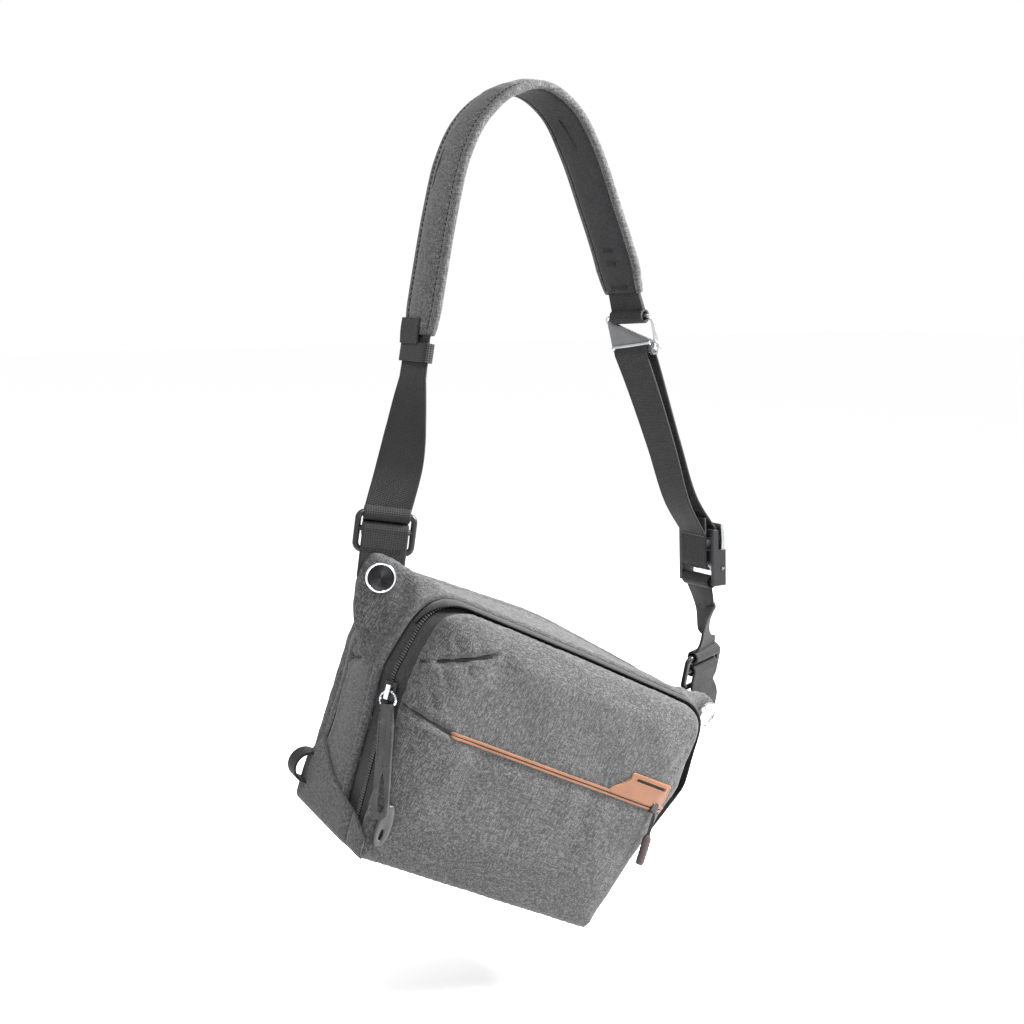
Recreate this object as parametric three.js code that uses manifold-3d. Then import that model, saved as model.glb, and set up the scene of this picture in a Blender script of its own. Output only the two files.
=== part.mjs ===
// A sling camera bag that hangs from its padded strap, its right end lower.
// Millimetres, +Z up. The origin is the underside of the strap's highest point,
// where a peg or a shoulder carries it. The bag has a frame of its own, turned
// by TILT and tipped forward by LEAN: x along its length, y = 0 at its back and negative to the front,
// z = 0 at its base.
import * as THREE from "three";
import { mergeVertices } from "three/addons/utils/BufferGeometryUtils.js";
import Module from "manifold-3d";

const wasm = await Module();
wasm.setup();

// ---------- driving dimensions ----------
const TILT = THREE.MathUtils.degToRad(25.4);
const LEAN = THREE.MathUtils.degToRad(9.1);
const BAG_ORIGIN = new THREE.Vector3(-52, 74.55, -533);
const GAP = 0.3; // between pieces that touch

// The bag's outline at four depths: half widths at the base, the waist and the
// corner, and heights of the shoulder and of the crown.
const BACK = { foot: 108, waist: 130, corner: 133, shoulder: 177, crown: 187, round: 34 };
const MIDDLE = { foot: 107, waist: 137, corner: 135, shoulder: 182, crown: 182, round: 42 };
const LIP = { foot: 106, waist: 141, corner: 135, shoulder: 182, crown: 183, round: 42 };
const ZIP = { foot: 104, waist: 133, corner: 131, shoulder: 180, crown: 181, round: 40 };
const FRONT = { foot: 103, waist: 124, corner: 125, shoulder: 178, crown: 179, round: 38 };
const WAIST_HEIGHT = 120;
const FOOT_ROUND = 5;
const WAIST_ROUND = 30;
const CROWN_ROUND = 300;

const BACK_DEPTH = 12; // padded back panel
const LIP_Y = -76; // front edge of the body, where the zip gusset starts
const ZIP_Y = -84; // where the two halves of the zip meet
const HATCH_Y = -90; // back of the padded front panel
const FACE_Y = -103; // its front
const WALL = 5;
const LINING = 1.2;

const HINGE = { y: -85, z: 0, radius: 1.4 }; // sewn hinge along the base of the front

const TRIM = { z: 99.5, left: -82, labelLeft: 63, right: 109, width: 2.2, proud: 3 };
const LABEL = { top: 118, slope: 10 };

const HUB = { x: 152.5, y: -50, z: 171.5, radius: 10.5, splay: THREE.MathUtils.degToRad(22) };
const WING = { thick: 10, slot: 4, tip: 13.4, leftLean: 0.19 };
const POST_RADIUS = 3.1;

const WEB = { width: 32, thick: 2 };
const FRAME = { width: 42, height: 29.5, rod: 4.2, rise: 29.2 };
const PAD = { width: 42, thick: 8, liningWidth: 35, liningThick: 2.4 };
const HOOK = { width: 39, height: 31, thick: 4.5, turn: -16 };
const ADJUSTER = { width: 42, height: 42, deep: 9 };

// ---------- materials ----------
const finish = (color, roughness, metalness = 0) =>
  new THREE.MeshStandardMaterial({ color, roughness, metalness });
const melange = finish(0x737476, 0.95);
const darkCloth = finish(0x4a4a4c, 0.95);
const lining = finish(0x36363a, 0.95);
const airMesh = finish(0x5a5c5e, 0.95);
const webbing = finish(0x1b1b1d, 0.9);
const hypalon = finish(0x3a3a3c, 0.6);
const tan = finish(0xbe7a4b, 0.65);
const blackMetal = finish(0x141416, 0.4, 0.7);
const chrome = finish(0xd8dadd, 0.15, 1);
const aluminium = finish(0xa9abad, 0.35, 1);
const rubber = finish(0x26201f, 0.7);

// ---------- solids ----------
// A Manifold solid of a closed geometry.
function solid(geometry) {
  const bare = geometry.index ? geometry.toNonIndexed() : geometry.clone();
  bare.deleteAttribute("normal");
  bare.deleteAttribute("uv");
  const merged = mergeVertices(bare, 1e-3);
  const made = new wasm.Manifold(
    new wasm.Mesh({
      numProp: 3,
      vertProperties: merged.attributes.position.array,
      triVerts: new Uint32Array(merged.index.array),
    }),
  );
  return made;
}

function geometryOf(manifold) {
  const mesh = manifold.getMesh();
  return new THREE.BufferGeometry()
    .setAttribute("position", new THREE.BufferAttribute(new Float32Array(mesh.vertProperties), 3))
    .setIndex(new THREE.BufferAttribute(new Uint32Array(mesh.triVerts), 1));
}

const cut = (a, ...others) =>
  geometryOf(others.reduce((whole, b) => whole.subtract(solid(b)), solid(a)));
const common = (a, b) => geometryOf(solid(a).intersect(solid(b)));
const joined = (a, ...others) =>
  geometryOf(others.reduce((whole, b) => whole.add(solid(b)), solid(a)));

// Triangles that close a flat ring of points, turned the way the ring runs.
function capTriangles(ring) {
  const normal = new THREE.Vector3();
  ring.forEach((p, i) => normal.add(p.clone().cross(ring[(i + 1) % ring.length])));
  const side = new THREE.Vector3().subVectors(ring[1], ring[0]).normalize();
  const up = normal.normalize().clone().cross(side).normalize();
  const flat = ring.map((p) => new THREE.Vector2(p.dot(side), p.dot(up)));
  const ccw = THREE.ShapeUtils.area(flat) > 0;
  return THREE.ShapeUtils.triangulateShape(flat, []).map(([a, b, c]) => {
    const sameWay = THREE.ShapeUtils.area([flat[a], flat[b], flat[c]]) > 0 === ccw;
    return sameWay ? [a, b, c] : [a, c, b];
  });
}

// A skin through rings that all have the same number of points: capped at both
// ends, or with its last ring joined to its first.
function skin(rings, endless = false) {
  const n = rings[0].length;
  const index = [];
  for (let s = 0; s < rings.length - (endless ? 0 : 1); s++) {
    const next = ((s + 1) % rings.length) * n;
    for (let i = 0; i < n; i++) {
      const j = (i + 1) % n;
      index.push(s * n + i, s * n + j, next + j, s * n + i, next + j, next + i);
    }
  }
  if (!endless) {
    const last = (rings.length - 1) * n;
    capTriangles(rings[0]).forEach(([a, b, c]) => index.push(a, c, b));
    capTriangles(rings.at(-1)).forEach(([a, b, c]) => index.push(last + a, last + b, last + c));
  }
  const points = rings.flat();
  const volume = index.reduce((sum, _, k) => {
    if (k % 3) return sum;
    const [a, b, c] = [points[index[k]], points[index[k + 1]], points[index[k + 2]]];
    return sum + a.dot(b.clone().cross(c));
  }, 0);
  if (volume < 0) {
    for (let k = 0; k < index.length; k += 3) {
      [index[k + 1], index[k + 2]] = [index[k + 2], index[k + 1]];
    }
  }
  return new THREE.BufferGeometry()
    .setAttribute("position", new THREE.Float32BufferAttribute(points.flatMap((p) => p.toArray()), 3))
    .setIndex(index);
}

// A box from its least to its greatest corner.
function box(x0, x1, y0, y1, z0, z1) {
  return new THREE.BoxGeometry(x1 - x0, y1 - y0, z1 - z0).translate(
    (x0 + x1) / 2,
    (y0 + y1) / 2,
    (z0 + z1) / 2,
  );
}

// A flat outline of [x, z] points, extruded towards the front from y.
function slab(points, y, depth, bevel = 0) {
  const shape = new THREE.Shape(points.map(([x, z]) => new THREE.Vector2(x, z)));
  return new THREE.ExtrudeGeometry(shape, {
    depth: depth - 2 * bevel,
    bevelEnabled: bevel > 0,
    bevelThickness: bevel,
    bevelSize: bevel,
    bevelOffset: -bevel,
    bevelSegments: 1,
    curveSegments: 8,
  })
    .rotateX(Math.PI / 2)
    .translate(0, y - bevel, 0);
}

// Points round an outline whose corners are [x, z, radius, steps].
function rounded(corners) {
  return corners.flatMap(([x, z, radius = 0, steps = 0], i) => {
    if (!steps) return [[x, z]];
    const at = new THREE.Vector2(x, z);
    const [before, after] = [-1, 1].map((way) => {
      const [px, pz] = corners[(i + way + corners.length) % corners.length];
      return new THREE.Vector2(px, pz).sub(at);
    });
    const half = Math.abs(before.angleTo(after)) / 2;
    const reach = Math.min(radius / Math.tan(half), before.length() * 0.48, after.length() * 0.48);
    const arc = new THREE.QuadraticBezierCurve(
      before.clone().setLength(reach).add(at),
      at,
      after.clone().setLength(reach).add(at),
    );
    return arc.getPoints(steps).map((p) => [p.x, p.y]);
  });
}

// The same corners with each edge moved inwards by a distance.
function insetCorners(corners, distance) {
  const inward = corners.map(([x, z], i) => {
    const [nx, nz] = corners[(i + 1) % corners.length];
    return new THREE.Vector2(-(nz - z), nx - x).normalize();
  });
  return corners.map(([x, z, radius, steps], i) => {
    const a = inward[(i + corners.length - 1) % corners.length];
    const b = inward[i];
    const scale = distance / (1 + a.dot(b));
    return [x + (a.x + b.x) * scale, z + (a.y + b.y) * scale, Math.max(2, radius - distance), steps];
  });
}

// The bag's outline at one depth, from the right foot over the crown to the left foot.
function outline(section, inset = 0) {
  const right = [
    [section.foot, 0, FOOT_ROUND, 3],
    [section.waist, WAIST_HEIGHT, WAIST_ROUND, 2],
    [section.corner, section.shoulder, section.round, 6],
  ];
  const left = right.map(([x, z, radius, steps]) => [-x, z, radius, steps]).reverse();
  return rounded(insetCorners([...right, [0, section.crown, CROWN_ROUND, 2], ...left], inset));
}

const at = (points, y) => points.map(([x, z]) => new THREE.Vector3(x, y, z));

// A solid through outlines given as [y, section, inset].
const loft = (stations) => skin(stations.map(([y, section, inset]) => at(outline(section, inset), y)));

// The part of a loft's wall between two insets.
function hoop(stations, wall) {
  const bored = stations.map(([y, section, inset], i) => {
    const past = i === 0 ? 1 : i === stations.length - 1 ? -1 : 0;
    return [y + past, section, inset + wall];
  });
  return cut(loft(stations), loft(bored));
}

// A bar that follows the outline up one side, over the top and down the other.
function arch(section, y0, y1, inset, wide, lowest) {
  const outer = outline(section, inset);
  const inner = outline(section, inset + wide);
  const rings = outer.map(([x, z], i) => [
    new THREE.Vector3(x, y0, z),
    new THREE.Vector3(x, y1, z),
    new THREE.Vector3(inner[i][0], y1, inner[i][1]),
    new THREE.Vector3(inner[i][0], y0, inner[i][1]),
  ]);
  return skin(rings.filter((ring) => ring[0].z > lowest));
}

const v = (x, y, z) => new THREE.Vector3(x, y, z);

// A round bar between two points.
function bar(from, to, radius, sides = 10) {
  const path = new THREE.LineCurve3(from, to);
  const section = new THREE.Shape().absarc(0, 0, radius, 0, 2 * Math.PI);
  return new THREE.ExtrudeGeometry(section, {
    steps: 1,
    curveSegments: sides,
    bevelEnabled: false,
    extrudePath: path,
  });
}

// A webbing sleeve round a bar along x, at a height on the group's z axis.
function sleeve(width, inner, outer, y, z) {
  const round = bar(v(-width / 2, y, z), v(width / 2, y, z), outer, 12);
  return cut(round, bar(v(-width, y, z), v(width, y, z), inner, 12));
}

// A strap along points. Its section is a ring of [across, outwards] pairs. The
// width runs along y, turned about the strap by angles spread evenly along it.
function swept(points, section, steps, turns = [0, 0]) {
  const path = new THREE.CatmullRomCurve3(points, false, "centripetal");
  const rings = Array.from({ length: steps + 1 }, (_, i) => {
    const u = i / steps;
    const along = path.getTangentAt(u);
    const k = Math.min(u * (turns.length - 1), turns.length - 1.001);
    const turn = THREE.MathUtils.lerp(turns[Math.floor(k)], turns[Math.floor(k) + 1], k % 1);
    const across = v(0, 1, 0).addScaledVector(along, -along.y).normalize();
    across.applyAxisAngle(along, THREE.MathUtils.degToRad(turn));
    const out = along.clone().cross(across);
    const centre = path.getPointAt(u);
    return section(u).map(([a, b]) =>
      centre.clone().addScaledVector(across, a).addScaledVector(out, b));
  });
  return skin(rings);
}
const flat = (width, thick) => () => [
  [-width / 2, -thick / 2],
  [width / 2, -thick / 2],
  [width / 2, thick / 2],
  [-width / 2, thick / 2],
];
function ribbon(points, width, thick, steps, turns) {
  return swept(points, flat(width, thick), steps, turns);
}


// The same outline on the other end of the bag.
const mirrored = (points, sign) => {
  const placed = points.map(([x, z]) => [sign * x, z]);
  return sign > 0 ? placed : placed.reverse();
};

// ---------- the scene ----------
const bagCamera = new THREE.Group();
const bag = new THREE.Group();
bag.position.copy(BAG_ORIGIN);
bag.rotation.set(LEAN, TILT, 0, "YXZ");
bagCamera.add(bag);

function add(group, name, geometry, material) {
  const mesh = new THREE.Mesh(geometry, material);
  mesh.name = name;
  group.add(mesh);
  return mesh;
}

// ---------- body ----------
const BODY_STATIONS = [
  [-BACK_DEPTH - GAP, BACK, 0],
  [-40, MIDDLE, 0],
  [-68, LIP, 0],
  [LIP_Y, LIP, 3],
];
const grownBody = (by) =>
  loft(BODY_STATIONS.map(([y, section, inset]) => [y, section, inset - by]));

add(bag, "back_panel", loft([[0, BACK, 2.5], [-2.5, BACK, 0], [-BACK_DEPTH, BACK, 0]]), darkCloth);
add(bag, "back_mesh", loft([[4.5, BACK, 15], [GAP, BACK, 8]]), airMesh);
add(bag, "body_shell", hoop(BODY_STATIONS, WALL), melange);
add(
  bag,
  "body_lining",
  hoop(
    BODY_STATIONS.slice(0, 3).map(([y, section]) => [y, section, WALL + GAP]),
    LINING,
  ),
  lining,
);
add(bag, "lining_back", loft([[-BACK_DEPTH - GAP, BACK, 7], [-BACK_DEPTH - 2, BACK, 7]]), lining);

const INSIDE = { back: -15, front: -74, floor: 7.2 };
add(bag, "floor_pad", box(-92, 92, INSIDE.front, INSIDE.back, INSIDE.floor, 12), lining);
add(bag, "inner_pocket", box(-96, 96, -17.6, INSIDE.back, 14, 92), lining);

const DIVIDER = { thick: 6, low: 12.5, fold: 118, top: 168, back: -19, front: -73 };
for (const [side, x] of [["left", -34], ["right", 40]]) {
  const half = DIVIDER.thick / 2;
  const [y0, y1] = [DIVIDER.front, DIVIDER.back];
  add(bag, `divider_${side}`, box(x - half, x + half, y0, y1, DIVIDER.low, DIVIDER.fold), lining);
  add(
    bag,
    `divider_${side}_flap`,
    box(x - half, x + half, y0, y1, DIVIDER.fold + 1, DIVIDER.top),
    lining,
  );
}

// The lower ends are wrapped by a second panel that rises to a peak.
const wrap = cut(grownBody(1.9), grownBody(0.4));
for (const [side, sign] of [["left", -1], ["right", 1]]) {
  const peak = new THREE.Shape([
    new THREE.Vector2(-14, 12),
    new THREE.Vector2(-73, 12),
    new THREE.Vector2(-73, 26),
    new THREE.Vector2(-30, 66),
    new THREE.Vector2(-14, 56),
  ]);
  const wedge = new THREE.ExtrudeGeometry(peak, { depth: 60, bevelEnabled: false })
    .rotateX(Math.PI / 2)
    .rotateZ(Math.PI / 2)
    .translate(sign > 0 ? 95 : -95 - 60, 0, 0);
  add(bag, `end_wrap_${side}`, common(wrap, wedge), melange);
}

// ---------- zip ----------
add(
  bag,
  "zip_gusset_body",
  hoop([[LIP_Y - GAP, LIP, 7], [ZIP_Y + 2.2, ZIP, 4]], 2.4),
  darkCloth,
);
const COIL = { wide: 3, deep: 1.6, inset: 3.4, lowest: 14 };
add(
  bag,
  "zip_coil_body",
  arch(ZIP, ZIP_Y + 1.9, ZIP_Y + 1.9 - COIL.deep, COIL.inset, COIL.wide, COIL.lowest),
  hypalon,
);
add(
  bag,
  "zip_coil_hatch",
  arch(ZIP, ZIP_Y, ZIP_Y - COIL.deep, COIL.inset, COIL.wide, COIL.lowest),
  hypalon,
);
add(
  bag,
  "zip_gusset_hatch",
  hoop([[ZIP_Y - COIL.deep - GAP, ZIP, 4], [HATCH_Y + GAP, FRONT, 2]], 2.4),
  darkCloth,
);

// ---------- front panel ----------
add(
  bag,
  "hatch_panel",
  loft([[HATCH_Y, FRONT, 1], [-96, FRONT, 0], [-100.5, FRONT, 2.5], [FACE_Y, FRONT, 9]]),
  melange,
);
add(bag, "hatch_lining", loft([[HATCH_Y + 2.6, FRONT, 9], [HATCH_Y + GAP, FRONT, 9]]), lining);
add(bag, "hatch_pocket", box(-84, 84, HATCH_Y + 3, HATCH_Y + 6, 14, 104), airMesh);
add(
  bag,
  "pocket_panel",
  common(
    loft([[FACE_Y - GAP, FRONT, 10], [FACE_Y - 2.6, FRONT, 14]]),
    box(-120, 120, FACE_Y - 5, FACE_Y, 0, TRIM.z - TRIM.width - 1),
  ),
  melange,
);

// ---------- trim, label and pocket zip ----------
const faceFront = FACE_Y - GAP;
add(
  bag,
  "trim_upper",
  box(TRIM.left, TRIM.labelLeft - GAP, faceFront - TRIM.proud, faceFront, TRIM.z, TRIM.z + TRIM.width),
  tan,
);
add(
  bag,
  "trim_lower",
  box(
    TRIM.left,
    TRIM.right,
    faceFront - TRIM.proud,
    faceFront,
    TRIM.z - TRIM.width - GAP * 2,
    TRIM.z - GAP * 2,
  ),
  tan,
);
const labelSlot = slab(rounded([
  [79, 112.5, 0.8, 2],
  [103, 112.5, 0.8, 2],
  [103, 115, 0.8, 2],
  [79, 115, 0.8, 2],
]), faceFront + 1, 6);
add(
  bag,
  "label_tab",
  cut(
    slab(rounded([
      [TRIM.labelLeft, TRIM.z],
      [TRIM.right, TRIM.z, 3, 3],
      [TRIM.right + 1, LABEL.top, 4, 3],
      [TRIM.labelLeft + LABEL.slope, LABEL.top, 4, 3],
      [TRIM.labelLeft + LABEL.slope / 2, TRIM.z + TRIM.width + 1, 4, 3],
      [TRIM.labelLeft, TRIM.z + TRIM.width],
    ]), faceFront, TRIM.proud - 0.6),
    labelSlot,
  ),
  tan,
);

// Pieces of the pocket zip, in front of the trim's right end.
const SLIDER_Y = faceFront - TRIM.proud - GAP;
add(bag, "pocket_slider", slab(rounded([
  [99, 96, 1.5, 2],
  [105, 96, 1.5, 2],
  [105, 104, 1.5, 2],
  [99, 104, 1.5, 2],
]), SLIDER_Y, 3, 0.5), blackMetal);

const PULL_TOP = v(102, SLIDER_Y - 4.6, 97.5);
const PULL_KNOT = v(106.2, SLIDER_Y - 4.6, 80);
const PULL_END = v(110.6, SLIDER_Y - 4.6, 59);
add(bag, "pocket_pull_cord", bar(PULL_TOP, PULL_KNOT, 1.1, 8), webbing);
add(bag, "pocket_pull_grip", bar(PULL_KNOT.clone().lerp(PULL_END, 0.02), PULL_END, 3.2), rubber);

// ---------- main zip slider, ring and pull ----------
// The slider rides outside the coil, on its straight stretch above the left foot.
// Its frame has -z down the track and -x away from the bag, square to the gusset.
const TRACK = { z: 109, lean: Math.atan2(ZIP.waist - ZIP.foot, WAIST_HEIGHT), face: 0.76 };
const trackX = ZIP.foot + Math.tan(TRACK.lean) * TRACK.z - (COIL.inset + COIL.wide / 2);
const slider = new THREE.Group();
slider.position.set(-trackX, ZIP_Y, TRACK.z);
slider.rotation.set(0, -TRACK.lean, TRACK.face, "YZX");
bag.add(slider);
const CROWN = { out: 6.9, rod: 0.9, ring: 5.6 };
add(slider, "zip_slider", box(-5.4, -3, -4.4, 4.4, -6.5, 6.5), blackMetal);
add(
  slider,
  "zip_crown",
  cut(box(-9.8, -5.4 - GAP, -1.5, 1.5, -5, 5), box(-8.6, -5, -3, 3, -2.6, 2.6)),
  chrome,
);

// The ring hangs through the crown and the leather pull from the ring. Both
// lie along the gusset, as near to plumb as it lets them.
slider.updateWorldMatrix(true, false);
const sliderTurn = new THREE.Quaternion().setFromRotationMatrix(slider.matrixWorld);
const plumb = v(0, 0, -1).applyQuaternion(sliderTurn.clone().invert());
const hang = Math.atan2(plumb.y, -plumb.z);
const PULL = { width: 11, thick: 4.4, length: 76, lift: 0.16 };
const pull = new THREE.Group();
pull.position.set(-CROWN.out, 0, 0);
pull.rotation.set(hang, PULL.lift, 0);
slider.add(pull);
add(
  pull,
  "zip_ring",
  new THREE.TorusGeometry(CROWN.ring, CROWN.rod, 6, 20)
    .rotateY(Math.PI / 2)
    .translate(0, 0, -CROWN.ring),
  chrome,
);
const pullTop = -2 * CROWN.ring + 2.6;
const teardrop = rounded([
  [-2.6, pullTop - PULL.length + 6, 2.4, 3],
  [2.6, pullTop - PULL.length + 6, 2.4, 3],
  [0.6, pullTop - PULL.length + 27, 0.5, 2],
  [-0.6, pullTop - PULL.length + 27, 0.5, 2],
]);
const pullOutline = rounded([
  [-PULL.width / 2, pullTop - PULL.length, 5, 4],
  [PULL.width / 2, pullTop - PULL.length, 5, 4],
  [PULL.width / 2, pullTop - 30],
  [PULL.width / 2 - 1.5, pullTop, 1.5, 2],
  [-PULL.width / 2 + 1.5, pullTop, 1.5, 2],
  [-PULL.width / 2, pullTop - 30],
]);
const ringTunnel = new THREE.TorusGeometry(CROWN.ring, CROWN.rod + 0.4, 6, 20)
  .rotateY(Math.PI / 2)
  .translate(0, 0, -CROWN.ring);
const ringEye = box(-4, 4, -CROWN.ring + 1.6, CROWN.ring - 1.6, -2 * CROWN.ring + 1.6, 4);
add(
  pull,
  "main_pull",
  cut(
    slab(pullOutline, PULL.thick / 2, PULL.thick, 0.6).rotateZ(Math.PI / 2),
    slab(teardrop, 5, 10).rotateZ(Math.PI / 2),
    ringTunnel,
    ringEye,
  ),
  hypalon,
);

// The tab that closes the lower left end of the main zip.
const tabOutline = rounded([[-88, 13, 3, 3], [-96, 31, 2, 2], [-103, 27, 2, 2], [-96, 9, 3, 3]]);
const tabHole = rounded([[-92.6, 14, 1, 2], [-95, 20, 1, 2], [-97, 19, 1, 2], [-94.5, 13, 1, 2]]);
add(bag, "zip_end_tab", cut(slab(tabOutline, FACE_Y - 3, 2), slab(tabHole, FACE_Y, 8)), hypalon);

// ---------- hinge piping and end loops ----------
add(
  bag,
  "hinge_piping",
  bar(v(-94, HINGE.y, HINGE.z), v(94, HINGE.y, HINGE.z), HINGE.radius, 8),
  melange,
);
const LOOP = { x: 115.5, z: 24, radius: 10, width: 12, thick: 2.2, y: -9 };
for (const [side, sign] of [["left", -1], ["right", 1]]) {
  const arc = Array.from({ length: 9 }, (_, i) => {
    const a = -0.46 * Math.PI + (i / 8) * 0.92 * Math.PI;
    const out = LOOP.x + 0.9 + Math.cos(a) * LOOP.radius;
    return v(sign * out, LOOP.y, LOOP.z + Math.sin(a) * LOOP.radius);
  });
  add(bag, `end_loop_${side}`, ribbon(arc, LOOP.width, LOOP.thick, 16), webbing);
}

// ---------- wings and hubs ----------
// A wing's frame has +x outwards along the wing, -y out of its front face and
// its origin at the hub.
function wingFrame(sign) {
  const frame = new THREE.Group();
  frame.position.set(sign * HUB.x, HUB.y, HUB.z);
  frame.rotation.z = sign * HUB.splay;
  bag.add(frame);
  return frame;
}
const wingOutline = rounded([
  [WING.tip, 12, 12, 5],
  [-8, WING.tip + 0.6, 8, 2],
  [-34, 13],
  [-34, -48],
  [-15, -56, 4, 2],
  [4, -40, 20, 2],
  [WING.tip - 1, -12, 14, 3],
].reverse());
const bodyForCut = grownBody(2.3);
for (const [side, sign] of [["left", -1], ["right", 1]]) {
  const frame = wingFrame(sign);
  const half = WING.thick / 2;
  frame.updateMatrix();
  const bodyHere = bodyForCut.clone().applyMatrix4(frame.matrix.clone().invert());
  frame.updateWorldMatrix(true, false);
  const turned = new THREE.Quaternion().setFromRotationMatrix(frame.matrixWorld).invert();
  const plumbUp = v(0, 0, 1).applyQuaternion(turned);
  const slotAngle = Math.atan2(plumbUp.x, plumbUp.z) + (sign > 0 ? 0 : WING.leftLean);
  const slot = slab(
    [[-12.5, -12.5], [12.5, -12.5], [14.5, 1], [24, 13], [24, 28], [-24, 28], [-24, 13], [-14.5, 1]],
    WING.slot / 2,
    WING.slot,
  ).rotateY(slotAngle);
  const bore = bar(v(0, -9, 0), v(0, 9, 0), POST_RADIUS + 0.4, 12);
  // The right anchor leaves backwards, so its slot is open behind near the top.
  const exit = box(-26, 26, 0, sign > 0 ? 9 : 0.5, 9.5, 40).rotateY(slotAngle);
  const plate = slab(mirrored(wingOutline, sign), half, WING.thick, 1.5);
  add(frame, `wing_${side}`, cut(plate, bodyHere, slot, bore, exit), melange);

  const turn = (profile) => new THREE.LatheGeometry(profile.map(([r, y]) => new THREE.Vector2(r, y)), 24);
  const front = half + GAP;
  const R = HUB.radius;
  add(
    frame,
    `hub_rim_${side}`,
    turn([[R - 2.4, front], [R, front], [R, front + 2], [R - 1.2, front + 3.2], [R - 2.4, front + 3.2], [R - 2.4, front]])
      .rotateX(Math.PI),
    chrome,
  );
  add(
    frame,
    `hub_face_${side}`,
    turn([[0, front], [R - 2.7, front], [R - 2.7, front + 2.2], [R - 4, front + 2.6], [0, front + 2.6]]).rotateX(Math.PI),
    sign > 0 ? aluminium : blackMetal,
  );
  add(
    frame,
    `hub_post_${side}`,
    turn([
      [0, -front - 2.2], [R - 1, -front - 2.2], [R - 1, -front], [POST_RADIUS, -front],
      [POST_RADIUS, front - GAP], [0, front - GAP],
    ]).rotateX(Math.PI),
    blackMetal,
  );
}

// ---------- strap ----------
// Everything below is in the hanging frame: the strap lies in the plane y = 0.
const strap = new THREE.Group();
bagCamera.add(strap);
bag.updateMatrixWorld(true);
const hubAt = (sign) => bag.localToWorld(v(sign * HUB.x, HUB.y, HUB.z));
const wingFace = (sign) =>
  v(sign * Math.sin(HUB.splay), -Math.cos(HUB.splay), 0).applyQuaternion(bag.quaternion);
// The direction in a wing's plane that runs x along the strap's plane for z up it.
const upTheWing = (face, x, z) => v(x, -(face.x * x + face.z * z) / face.y, z).normalize();

// The padded stretch: a cover that is open below, and the lining set into it.
const STRAP = [
  v(-88, 0, -162), v(-81, 0, -124), v(-71, 0, -76), v(-62, 0, -44), v(-48, 0, -19),
  v(-26, 0, -1), v(0, 0, PAD.thick / 2), v(24, 0, -10), v(41, 0, -36), v(59, 0, -78),
  v(71, 0, -108), v(80, 0, -136),
];
const PAD_TURNS = [0, 0, 0, 0, -4, -8, -8, -10];
const PAD_STEPS = 44;
function padSection(u) {
  const narrowing = Math.max(0, Math.abs(u - 0.5) * 20 - 9) * 3;
  const a = PAD.width / 2 - narrowing;
  const b = PAD.liningWidth / 2 + GAP;
  const top = PAD.thick / 2;
  const floor = PAD.liningThick + GAP - top;
  return [[-a, -top], [-b, -top], [-b, floor], [b, floor], [b, -top], [a, -top], [a, top], [-a, top]];
}
const liningSection = () => {
  const a = PAD.liningWidth / 2;
  const low = -PAD.thick / 2;
  return [[-a, low], [a, low], [a, low + PAD.liningThick], [-a, low + PAD.liningThick]];
};
add(strap, "pad_cover", swept(STRAP, padSection, PAD_STEPS, PAD_TURNS), melange);
add(strap, "pad_lining", swept(STRAP, liningSection, PAD_STEPS, PAD_TURNS), lining);

// A group whose x and z axes point given ways.
function frameAt(origin, x, z) {
  const group = new THREE.Group();
  const basis = new THREE.Matrix4().makeBasis(x, z.clone().cross(x), z);
  group.position.copy(origin);
  group.quaternion.setFromRotationMatrix(basis);
  strap.add(group);
  group.updateMatrixWorld(true);
  return group;
}
// A mesh's geometry moved from its group into the hanging frame.
const hung = (geometry, group) => geometry.clone().applyMatrix4(group.matrixWorld);

// ---------- strap ends: frames and anchors ----------
const SLEEVE = { inner: 3.4, outer: 5.3 };
const TOP_BAR = FRAME.height / 2 - FRAME.rod / 2;
const MIDDLE_BAR = 1.6;
const ANCHOR = { drop: 3.7, thick: 2.2, tongue: 9.6 };
const frameOutline = rounded([
  [-FRAME.width / 2, -FRAME.height / 2, 5, 3],
  [FRAME.width / 2, -FRAME.height / 2, 5, 3],
  [FRAME.width / 2, FRAME.height / 2, 5, 3],
  [-FRAME.width / 2, FRAME.height / 2, 5, 3],
]);
function buckle() {
  const inside = FRAME.width / 2 - FRAME.rod;
  const top = FRAME.height / 2 - FRAME.rod;
  return cut(
    slab(frameOutline, FRAME.rod / 2, FRAME.rod, 1),
    box(-inside, inside, -9, 9, MIDDLE_BAR + FRAME.rod / 2, top),
    box(-inside, inside, -9, 9, -top, MIDDLE_BAR - FRAME.rod / 2),
  );
}
// The part of an anchor inside the wing: a tongue that turns on the hub's post.
function tongue(upTo, wide) {
  const r = ANCHOR.tongue;
  return cut(
    slab(rounded([
      [-r, -r, r, 5],
      [r, -r, r, 5],
      [r, 2],
      [wide, 13],
      [wide, upTo],
      [-wide, upTo],
      [-wide, 13],
      [-r, 2],
    ]), ANCHOR.thick / 2, ANCHOR.thick),
    bar(v(0, -9, 0), v(0, 9, 0), POST_RADIUS + 1.2, 12),
  );
}

// A hub's group has -y out of the wing's front and z up the wing's plane.
const hubFrame = (sign, face, up) => frameAt(hubAt(sign), up.clone().cross(face), up);
// The turn that lays a ribbon's width along a given direction.
function turnTo(along, across) {
  const base = v(0, 1, 0).addScaledVector(along, -along.y).normalize();
  const side = along.clone().cross(base);
  const turn = THREE.MathUtils.radToDeg(Math.atan2(across.dot(side), across.dot(base)));
  return turn > 90 ? turn - 180 : turn < -90 ? turn + 180 : turn;
}

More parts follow.
